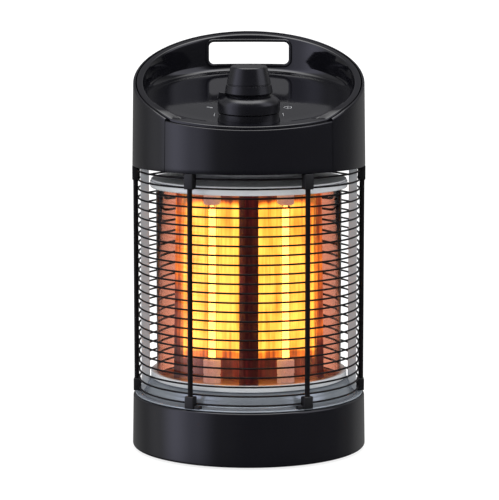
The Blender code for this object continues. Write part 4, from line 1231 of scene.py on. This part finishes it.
# ---- top housing ---------------------------------------------------------------------------------
@dataclass
class TopHousing(SubAssembly):
    """Rear housing with its handle slot, front panel and the deck inside them."""

    taper: float = 2.4 * MM         # how much narrower the skin is at the rim
    wall: float = 3 * MM
    foot: float = 1 * MM            # rounding of the skin's lower edge
    liner_wall: float = 8 * MM
    lip_up: float = 54 * MM         # height of the front lip over the housing's foot
    deck_slope: float = 0.2
    deck_thick: float = 3 * MM
    fillet: float = 9 * MM          # between the deck and its wall
    bead: float = 0.4 * MM
    panel_drop: float = 2.4 * MM    # how far the front panel stays under the deck's lip
    panel_edge: float = 1.3 * MM
    seam_angle: float = 44.3        # degrees from the front to each seam
    seam_gap: float = 0.5 * MM
    corner_run: float = 20 * MM     # the rounded fall of the rim behind each seam
    corner_drop: float = 10 * MM
    outer_edge: float = 2.0 * MM    # rounding of the rim's outer edge
    inner_edge: float = 2.2 * MM    # rounding of the rim's inner edge
    liner_edge: float = 1.5 * MM    # rounding where the deck's wall meets the skin
    slot_width: float = 101 * MM
    slot_height: float = 28.6 * MM
    slot_corner: float = 6.5 * MM
    handle: float = 13 * MM
    lip: float = 3.4 * MM           # how far the slot's lip covers the wall
    lip_proud: float = 1.3 * MM
    lip_line: float = 0.5 * MM      # how much the lip narrows the slot
    mark_rise: float = 0.06 * MM    # how high the printed marks' middle lines lie

    def __post_init__(self) -> None:
        """Work out the housing's main lines from the frame."""
        low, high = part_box("rear_housing")
        self.low_z, self.rim_z, self.low_r = low.z, high.z, high.x
        self.top_r = self.low_r - self.taper
        self.liner_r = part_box("control_deck")[1].x
        self.bowl_r = self.liner_r - self.liner_wall
        self.lip_z = self.low_z + self.lip_up
        self.corner_y = -self.top_r * math.cos(math.radians(self.seam_angle))
        self.front_y = self.corner_y + self.corner_run
        self.front_z = self.deck(self.corner_y) + self.bead + self.corner_drop
        self.rim_slope = (self.rim_z - self.front_z) / (self.top_r - self.front_y)

    def deck(self, y: float) -> float:
        """Find the deck's height.

        Args:
            y: Where, from front to back.

        Returns:
            The height.
        """
        return self.lip_z + self.deck_slope * (y + self.top_r)

    def rim(self, y: float) -> float:
        """Find the rim's height: a straight slope, a rounded fall, then the deck's lip.

        Args:
            y: Where, from front to back.

        Returns:
            The height.
        """
        line = self.front_z + self.rim_slope * (y - self.front_y)
        if y >= self.front_y:
            return min(line, self.rim_z)
        if y <= self.corner_y:
            return self.deck(y) + self.bead
        turn = math.asin((self.front_y - y) / self.corner_run)
        drop = line - self.deck(self.corner_y) - self.bead
        return line - drop * (1 - math.cos(turn))

    def skin_r(self, z: float) -> float:
        """Find the outer skin's radius.

        Args:
            z: The height.

        Returns:
            The radius.
        """
        return self.low_r - self.taper * (z - self.low_z) / (self.rim_z - self.low_z)

    def build(self) -> None:
        """Make the housing's pieces."""
        self.rear()
        self.panel()
        self.deck_piece()
        self.slot_lip()
        self.dial()
        self.dress(("housing_floor",), GRAINED_ABS)
        self.dress(("post_screw_left", "post_screw_right"), ZINC)
        self.dress(("rotary_switch",), BAKELITE)

    def skin_column(self, angle: float, top: float, edge: float) -> list[Vector]:
        """One upright section of the outer skin.

        Args:
            angle: Where it stands, in degrees from the front.
            top: Its height.
            edge: Rounding of its top outer edge.

        Returns:
            A closed loop of points.
        """
        foot, base, nick = self.foot, self.low_z + self.foot, 0.3 * MM
        top_r = self.skin_r(top)
        inner = top_r - self.wall
        profile = [(self.low_r - self.wall, self.low_z), (self.low_r - foot, self.low_z),
                   (self.low_r - foot * 0.3, self.low_z + foot * 0.3), (self.low_r, base)]
        heights = [base + (top - edge - base) * k / 6 for k in range(1, 6)]
        profile += [(self.skin_r(z), z) for z in heights]
        profile += arc((top_r - edge, top - edge), edge, 0, 90, 8)
        profile += [(inner + nick, top), (inner, top - nick)]
        return [around(r, angle, z) for r, z in profile]

    def slot_cutter(self) -> bpy.types.Object:
        """Make the handle slot as a solid that runs through the back wall.

        Returns:
            The solid.
        """
        path = self.slot_path(0.0)
        columns = [[Vector((x, y, z)) for x, z in path] for y in (self.bowl_r / 2, self.low_r * 1.2)]
        return skinned("slot_cutter", columns, caps=True)

    def slot_path(self, grow: float) -> Profile:
        """The handle slot's outline.

        Args:
            grow: How far outside the slot the outline runs.

        Returns:
            Its (x, z) points.
        """
        half_w = self.slot_width / 2 - self.slot_corner
        half_h = self.slot_height / 2 - self.slot_corner
        centre_z = self.rim_z - self.handle - self.slot_height / 2
        points = []
        for quarter, (sx, sz) in enumerate(((1, 1), (-1, 1), (-1, -1), (1, -1))):
            points += arc((sx * half_w, centre_z + sz * half_h), self.slot_corner + grow,
                          90 * quarter, 90 * quarter + 90, 8)
            if quarter in (0, 2):
                run = [sx * half_w * (1 - 2 * k / 12) for k in range(1, 12)]
                points += [(x, points[-1][1]) for x in run]
        return points

    def rear(self) -> None:
        """The rear housing: the outer wall from seam to seam, cut by the slot."""
        steps = 240
        sweep = 360 - 2 * self.seam_angle
        columns = []
        for k in range(steps + 1):
            angle = self.seam_angle + sweep * k / steps
            y = -self.top_r * math.cos(math.radians(angle))
            columns.append(self.skin_column(angle, self.rim(y), self.outer_edge))
        rear = skinned("rear_housing_skin", columns, caps=True)
        carve(rear, self.slot_cutter())
        self.keep(rear, GLOSS_ABS, Slot.GLOSS, ["rear_housing"])

    def panel(self) -> None:
        """The front panel between the two seams."""
        steps = 80
        half = self.seam_angle - math.degrees(1.6 * self.seam_gap / self.top_r)
        columns = []
        for k in range(steps + 1):
            angle = -half + 2 * half * k / steps
            y = -self.top_r * math.cos(math.radians(angle))
            columns.append(self.skin_column(angle, self.deck(y) - self.panel_drop, self.panel_edge))
        panel = skinned("front_panel_skin", columns, caps=True)
        self.keep(panel, GLOSS_ABS, Slot.GLOSS, ["front_panel"])

    def deck_column(self, angle: float) -> list[Vector]:
        """One section of the deck and its wall, from the middle out and back beneath.

        Args:
            angle: Where it lies, in degrees from the front.

        Returns:
            An open line of points that starts and ends on the axis.
        """
        def place(r: float, height: Callable[[float], float]) -> Vector:
            """Set a point of the section.

            Args:
                r: How far it is from the middle.
                height: Gives its height from its y.

            Returns:
                The point.
            """
            spot = around(r, angle)
            spot.z = height(spot.y)
            return spot

        def wall_foot(y: float) -> float:
            """Find where the deck's wall starts to rise, which is never over the rim.

            Args:
                y: Where, from front to back.

            Returns:
                The height.
            """
            return min(self.deck(y) + self.fillet, self.rim(y))

        e, out = self.inner_edge, self.liner_edge
        flat_r = self.bowl_r - self.fillet
        points = [place(flat_r * k / 8, self.deck) for k in range(9)]
        for k in range(1, 9):
            turn = math.radians(90 * k / 8)
            lift = self.fillet * (1 - math.cos(turn))
            points.append(place(flat_r + self.fillet * math.sin(turn),
                                lambda y: min(self.deck(y) + lift, self.rim(y))))
        for k in range(1, 5):
            points.append(place(self.bowl_r, lambda y: wall_foot(y) + k / 4 * (
                max(self.rim(y) - e, wall_foot(y)) - wall_foot(y))))
        for k in range(1, 7):
            turn = math.radians(90 * k / 6)
            points.append(place(self.bowl_r + e * (1 - math.cos(turn)), lambda y: max(
                self.rim(y) - e * (1 - math.sin(turn)), wall_foot(y))))
        for k in range(7):
            turn = math.radians(90 - 90 * k / 6)
            points.append(place(self.liner_r - out + out * math.cos(turn),
                                lambda y: self.rim(y) - out + out * math.sin(turn)))
        points.append(place(self.liner_r, lambda y: self.deck(y) - self.deck_thick))
        points.append(Vector((0, 0, self.deck(0) - self.deck_thick)))
        return points

    def deck_piece(self) -> None:
        """The control deck with its raised wall, cut by the slot."""
        count = 288
        columns = [self.deck_column(360 * k / count) for k in range(count)]
        deck = skinned("control_deck_skin", columns, wrap=True, closed=False)
        carve(deck, self.slot_cutter())
        self.keep(deck, DECK_ABS, Slot.GLOSS, ["control_deck"])

    def slot_lip(self) -> None:
        """The moulded lip that lines the handle slot."""
        line, proud = self.lip_line, self.lip_proud
        section = [(-line, 0.5, 0.0), (-line, 0.0, 0.0), (-line * 0.4, 0.0, -proud * 0.7),
                   (0.8 * MM, 0.0, -proud), (self.lip - 1.4 * MM, 0.0, -proud),
                   (self.lip - 0.4 * MM, 0.0, -proud * 0.6), (self.lip, 0.0, 0.3 * MM),
                   (0.6 * MM, 0.0, 0.6 * MM), (0.3 * MM, 0.5, 0.0), (0.6 * MM, 1.0, -0.6 * MM),
                   (self.lip * 0.7, 1.0, -0.3 * MM), (self.lip * 0.6, 1.0, proud * 0.4),
                   (0.6 * MM, 1.0, proud * 0.5), (-line * 0.4, 1.0, proud * 0.3), (-line, 1.0, 0.0)]
        columns = []
        paths = [self.slot_path(grow) for grow, _, _ in section]
        for spots in zip(*paths):
            column = []
            for (_, share, extra), (x, z) in zip(section, spots):
                inside = math.sqrt(self.bowl_r ** 2 - x * x)
                outside = math.sqrt(self.skin_r(z) ** 2 - x * x)
                column.append(Vector((x, inside + (outside - inside) * share + extra, z)))
            columns.append(column)
        self.keep(skinned("handle_slot_lip", columns, wrap=True, sharp=50), KNOB_ABS, Slot.GLOSS)

    def dial(self) -> None:
        """Printed marks beside the knob: a dash, a ring with a bar and two short arcs."""
        knob_low, knob_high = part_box("control_knob")
        centre_y = frame["joints"][0]["pos_m"][1]
        reach = (knob_high.x - knob_low.x) / 2
        solid = bmesh.new()

        def stroke(points: Profile, width: float) -> None:
            """Print a line on the deck.

            Args:
                points: Its (x, y) points.
                width: Its width.
            """
            path = [Vector((x, y, self.deck(y) + self.mark_rise)) for x, y in points]
            add_grid(solid, tube_columns(path, width / 2, 6), wrap=False, closed=True, caps=True)

        mark_x, mark_y = reach + 9.6 * MM, centre_y + 34 * MM
        dash, fall, bar = 3.4 * MM, 2 * MM, 2.4 * MM
        stroke([(-mark_x - dash, mark_y + fall), (-mark_x + dash, mark_y - fall)], 0.7 * MM)
        stroke(arc((mark_x, mark_y), 4.6 * MM, 0, 350, 16), 0.55 * MM)
        stroke([(mark_x, mark_y - bar), (mark_x, mark_y + bar)], 0.8 * MM)
        for start, end in ((168, 186), (-6, 12)):
            stroke(arc((0, centre_y), reach + 4 * MM, start, end, 16), 0.6 * MM)
        self.keep(mesh_object("dial_marks", solid, 60), DIAL_INK, Slot.GLOSS)


@dataclass
class ControlKnob(SubAssembly):
    """The knob: a skirt with a rounded shoulder and a tapered grip."""

    skirt_r: float = 36.4 * MM
    skirt_height: float = 18.5 * MM
    skirt_edge: float = 0.5 * MM
    shoulder: float = 12 * MM       # the shoulder's reach and its fall
    shoulder_fall: float = 9.5 * MM
    grip_low: float = 28 * MM       # radius of the grip at its foot and at its top
    grip_top: float = 21.5 * MM
    grip_foot: float = 4 * MM       # height of the grip's rounded foot
    grip_edge: float = 2.6 * MM     # rounding of the grip's top
    height: float = 53 * MM
    groove_up: float = 14 * MM
    groove_depth: float = 0.6 * MM
    lift: float = 0.8 * MM          # gap under the knob
    pointer_angle: float = 272.0    # degrees round the knob, where 270 is the left
    pointer_rise: float = 14.0      # degrees that the pointer rises outwards
    pointer_half: tuple[float, float] = (1.7 * MM, 4 * MM)      # half its width and its height
    pointer_edge: float = 0.6 * MM

    body = Body.KNOB

    def build(self) -> None:
        """Make the knob and its pointer, and dress the shaft."""
        place = on_joint("knob_turn", self.lift)
        self.grip(place)
        self.pointer(place)
        self.dress(("switch_shaft",), ZINC)

    def grip(self, place: Matrix) -> None:
        """The turned body of the knob.

        Args:
            place: Where its foot stands.
        """
        s, h, foot, edge, low_r = (self.skirt_height, self.height, self.grip_foot, self.grip_edge,
                                   self.grip_low)
        profile = [(0, h - 0.3 * MM), (self.grip_top - 6 * MM, h - 0.1 * MM)]
        profile += arc((self.grip_top - edge, h - edge), edge, 90, 10, 8)
        slope = (low_r - self.grip_top) / (h - s - foot)
        groove, deep = s + self.groove_up, self.groove_depth
        for up, depth in ((0.9 * MM, 0), (0.4 * MM, deep), (-0.4 * MM, deep), (-0.9 * MM, -deep / 2)):
            side = low_r - slope * (groove + up - s - foot)
            profile.append((side - depth, groove + up))
        inset = 3.6 * MM
        profile += [(low_r, s + foot + 0.4 * MM), (low_r - 0.4 * MM, s + foot - 0.6 * MM),
                    (low_r - 3 * MM, s + 1.6 * MM), (low_r - inset, s + 0.4 * MM), (low_r - inset, s)]
        profile += [(self.skirt_r - self.shoulder * (1 - math.cos(t)),
                     s - self.shoulder_fall * (1 - math.sin(t)))
                    for t in (math.radians(90 - 90 * k / 16) for k in range(17))]
        profile += [(self.skirt_r, self.skirt_edge), (self.skirt_r - self.skirt_edge, 0), (0, 0)]
        knob = turned("control_knob_body", profile, 120, closed=False, sharp=28)
        knob.matrix_world = place
        self.keep(knob, KNOB_ABS, Slot.KNOB, ["control_knob"])

    def pointer(self, place: Matrix) -> None:
        """The raised pointer on the shoulder.

        Args:
            place: Where the knob's foot stands.
        """
        solid = bmesh.new()
        spin = Matrix.Rotation(math.radians(self.pointer_angle - 90), 4, "Z")
        root = Matrix.Translation((self.grip_low - 3 * MM, 0, self.skirt_height - 2 * MM))
        rise = Matrix.Rotation(math.radians(-self.pointer_rise), 4, "Y")
        reach = self.skirt_r - self.grip_low + 2.6 * MM
        half, tall = self.pointer_half
        add_block(solid, (0, -half, -tall), (reach, half, tall), self.pointer_edge,
                  place @ spin @ root @ rise)
        self.keep(mesh_object("knob_pointer", solid, 40), KNOB_ABS, Slot.KNOB)


@dataclass
class KnobSeat(SubAssembly):
    """The low boss on the deck that the knob turns on."""

    radius: float = 35.4 * MM
    bore: float = 4.4 * MM          # radius of the hole for the shaft
    deep: float = 9 * MM
    edge: float = 0.5 * MM

    def build(self) -> None:
        """Make the boss round the shaft."""
        r, deep, edge = self.radius, self.deep, self.edge
        profile = [(self.bore, 0), (r - edge, 0), (r, -edge), (r, -deep), (self.bore, -deep)]
        seat = turned("knob_seat_ring", profile, 96)
        seat.matrix_world = on_joint("knob_turn")
        self.keep(seat, KNOB_ABS, Slot.KNOB)


# ---- studio ----------------------------------------------------------------------------------------
@dataclass
class Studio:
    """The pale floor, the white surround, the soft lights and the camera."""

    reach: float = 9.0              # radius of the floor and of the surround
    surround: float = 1.25          # brightness of the surround
    floor_light: float = 0.8        # what the floor gives by itself, which keeps shadows soft
    camera_spot: tuple[float, float, float] = (0.0008, -2.670, 0.583)
    tilt: float = 7.322             # degrees that the camera looks down
    lens: float = 159.88
    film: float = 36.0
    side_light: float = 1.1         # brightness of the box on the right and of the one overhead
    top_light: float = 3.6
    under_light: float = 0.2        # share of the walls' light that comes from well below

    def build(self) -> None:
        """Make the studio."""
        self.surround_dome()
        self.floor()
        self.world()
        self.camera()

    def hide_from_gloss(self, piece: bpy.types.Object, tree: bpy.types.NodeTree,
                        shader: bpy.types.NodeSocket) -> None:
        """Keep a stage piece out of reflections, also those seen through glass.

        Args:
            piece: The floor or the surround.
            tree: Its material's nodes.
            shader: What it looks like when it is seen directly.
        """
        path = add_node(tree, "LightPath")
        clear = add_node(tree, "BsdfTransparent")
        mixed = add_node(tree, "MixShader", None,
                         {0: path.outputs["Glossy Depth"], 1: shader, 2: clear.outputs["BSDF"]})
        tree.links.new(mixed.outputs["Shader"], tree.nodes["Material Output"].inputs["Surface"])
        piece.visible_glossy = False
        piece.visible_shadow = False

    def surround_dome(self) -> None:
        """A plain white dome round the floor."""
        dome = turned("surround", arc((0, 0), self.reach, 90, -2, 24), 48, closed=False, sharp=180)
        made = bpy.data.materials.new("white_surround")
        made.use_nodes = True
        tree = made.node_tree
        light = add_node(tree, "Emission", {"Strength": self.surround})
        dome.data.materials.append(made)
        self.hide_from_gloss(dome, tree, light.outputs["Emission"])

    def floor(self) -> None:
        """A plain pale floor."""
        solid = bmesh.new()
        bmesh.ops.create_circle(solid, cap_ends=True, segments=64, radius=self.reach)
        floor = mesh_object("floor", solid)
        made = bpy.data.materials.new("pale_floor")
        made.use_nodes = True
        shader = made.node_tree.nodes["Principled BSDF"]
        shader.inputs["Base Color"].default_value = linear("#8a8a8a")
        shader.inputs["Emission Color"].default_value = linear("#ffffff")
        shader.inputs["Emission Strength"].default_value = self.floor_light
        shader.inputs["Roughness"].default_value = 0.9
        shader.inputs["Specular IOR Level"].default_value = 0.0
        floor.data.materials.append(made)
        self.hide_from_gloss(floor, made.node_tree, shader.outputs["BSDF"])

    def world(self) -> None:
        """What the gloss reflects: soft boxes left, right and overhead in a dim room."""
        world = bpy.data.worlds.new("studio")
        world.use_nodes = True
        tree = world.node_tree
        place = add_node(tree, "TexCoord")
        axes = add_node(tree, "SeparateXYZ", None, {0: place.outputs["Generated"]})
        back = add_node(tree, "Math", {"operation": "MULTIPLY", 1: -1.0}, {0: axes.outputs["Y"]})
        turn = add_node(tree, "Math", {"operation": "ARCTAN2"},
                        {0: axes.outputs["X"], 1: back.outputs[0]})
        share = add_node(tree, "MapRange", {"From Min": -math.pi, "From Max": math.pi},
                         {"Value": turn.outputs[0]}).outputs["Result"]
        height = add_node(tree, "Math", {"operation": "ARCSINE"}, {0: axes.outputs["Z"]}).outputs[0]

        def strips(*stops: tuple[float, float, float]) -> bpy.types.NodeSocket:
            """Upright strips of light round the room.

            Args:
                *stops: Degrees from the front, the brightness there and how blue it is.

            Returns:
                Their light.
            """
            return add_ramp(tree, share, [((degrees + 180) / 360, (level, level, level * blue))
                                          for degrees, level, blue in stops], ease=True)

        def fade(low: float, high: float, **levels: float) -> bpy.types.NodeSocket:
            """Rise softly between two heights.

            Args:
                low: Degrees above the floor where it starts.
                high: Degrees where it ends.
                **levels: "To_Min" or "To_Max", where they aren't 0 and 1.

            Returns:
                The rise.
            """
            settings = {key.replace("_", " "): value for key, value in levels.items()}
            return add_node(tree, "MapRange", {"interpolation_type": "SMOOTHSTEP",
                                               "From Min": math.radians(low),
                                               "From Max": math.radians(high), **settings},
                            {"Value": height}).outputs["Result"]

        def combine(kind: str, first: bpy.types.NodeSocket, name: int | str,
                    second: bpy.types.NodeSocket) -> bpy.types.NodeSocket:
            """Scale a light or add two.

            Args:
                kind: "SCALE" or "ADD".
                first: The light.
                name: The second input's name or number.
                second: What goes into it.

            Returns:
                The result.
            """
            return add_node(tree, "VectorMath", {"operation": kind},
                            {0: first, name: second}).outputs["Vector"]

        walls = strips((-180, 0.15, 1), (-125, 0.18, 1), (-100, 0.45, 1.05), (-76, 1.2, 1.25),
                       (-55, 0.7, 1.25), (-28, 0.12, 1.1), (0, 0.06, 1.2), (90, 0.08, 1.1),
                       (112, 0.14, 1), (135, 0.24, 1), (180, 0.15, 1))
        right = strips((45, 0, 1), (62, self.side_light, 1.15), (88, self.side_light, 1.15),
                       (105, 0, 1))
        behind = strips((-180, 0.05, 1.2), (-130, 0.04, 1.2), (-105, 0, 1), (105, 0, 1),
                        (130, 0.04, 1.2), (180, 0.05, 1.2))
        light = combine("SCALE", walls, "Scale", fade(-22, -14, To_Min=self.under_light))
        light = combine("ADD", light, 1, combine("SCALE", right, "Scale", fade(2, 12)))
        light = combine("ADD", light, 1, fade(50, 72, To_Max=self.top_light))
        light = combine("ADD", light, 1, combine("SCALE", behind, "Scale", fade(8, 20)))
        tree.links.new(light, tree.nodes["Background"].inputs["Color"])
        bpy.context.scene.world = world

    def camera(self) -> None:
        """The camera, a little above the heater's middle and looking slightly down."""
        data = bpy.data.cameras.new("camera")
        data.lens = self.lens
        data.sensor_width = self.film
        spot = bpy.data.objects.new("camera", data)
        spot.location = self.camera_spot
        spot.rotation_euler = (math.radians(90 - self.tilt), 0, 0)
        bpy.context.scene.collection.objects.link(spot)
        bpy.context.scene.camera = spot
        bpy.context.scene.view_settings.view_transform = "Standard"


def main() -> None:
    """Build the heater and its studio."""
    logging.basicConfig(level=logging.INFO, format="%(name)s: %(message)s")
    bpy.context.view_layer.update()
    Studio().build()
    BaseDrum().build()
    HeatChamber().build()
    lamp_places = ("front_right", "rear_right", "rear_left", "front_left")
    for quarter, place in enumerate(lamp_places):
        QuartzLamp(place).build()
        Reflector(place, quarter).build()
    SidePosts().build()
    WireGuard().build()
    RodClips().build()
    TopHousing().build()
    KnobSeat().build()
    ControlKnob().build()


if __name__ == "__main__":
    main()
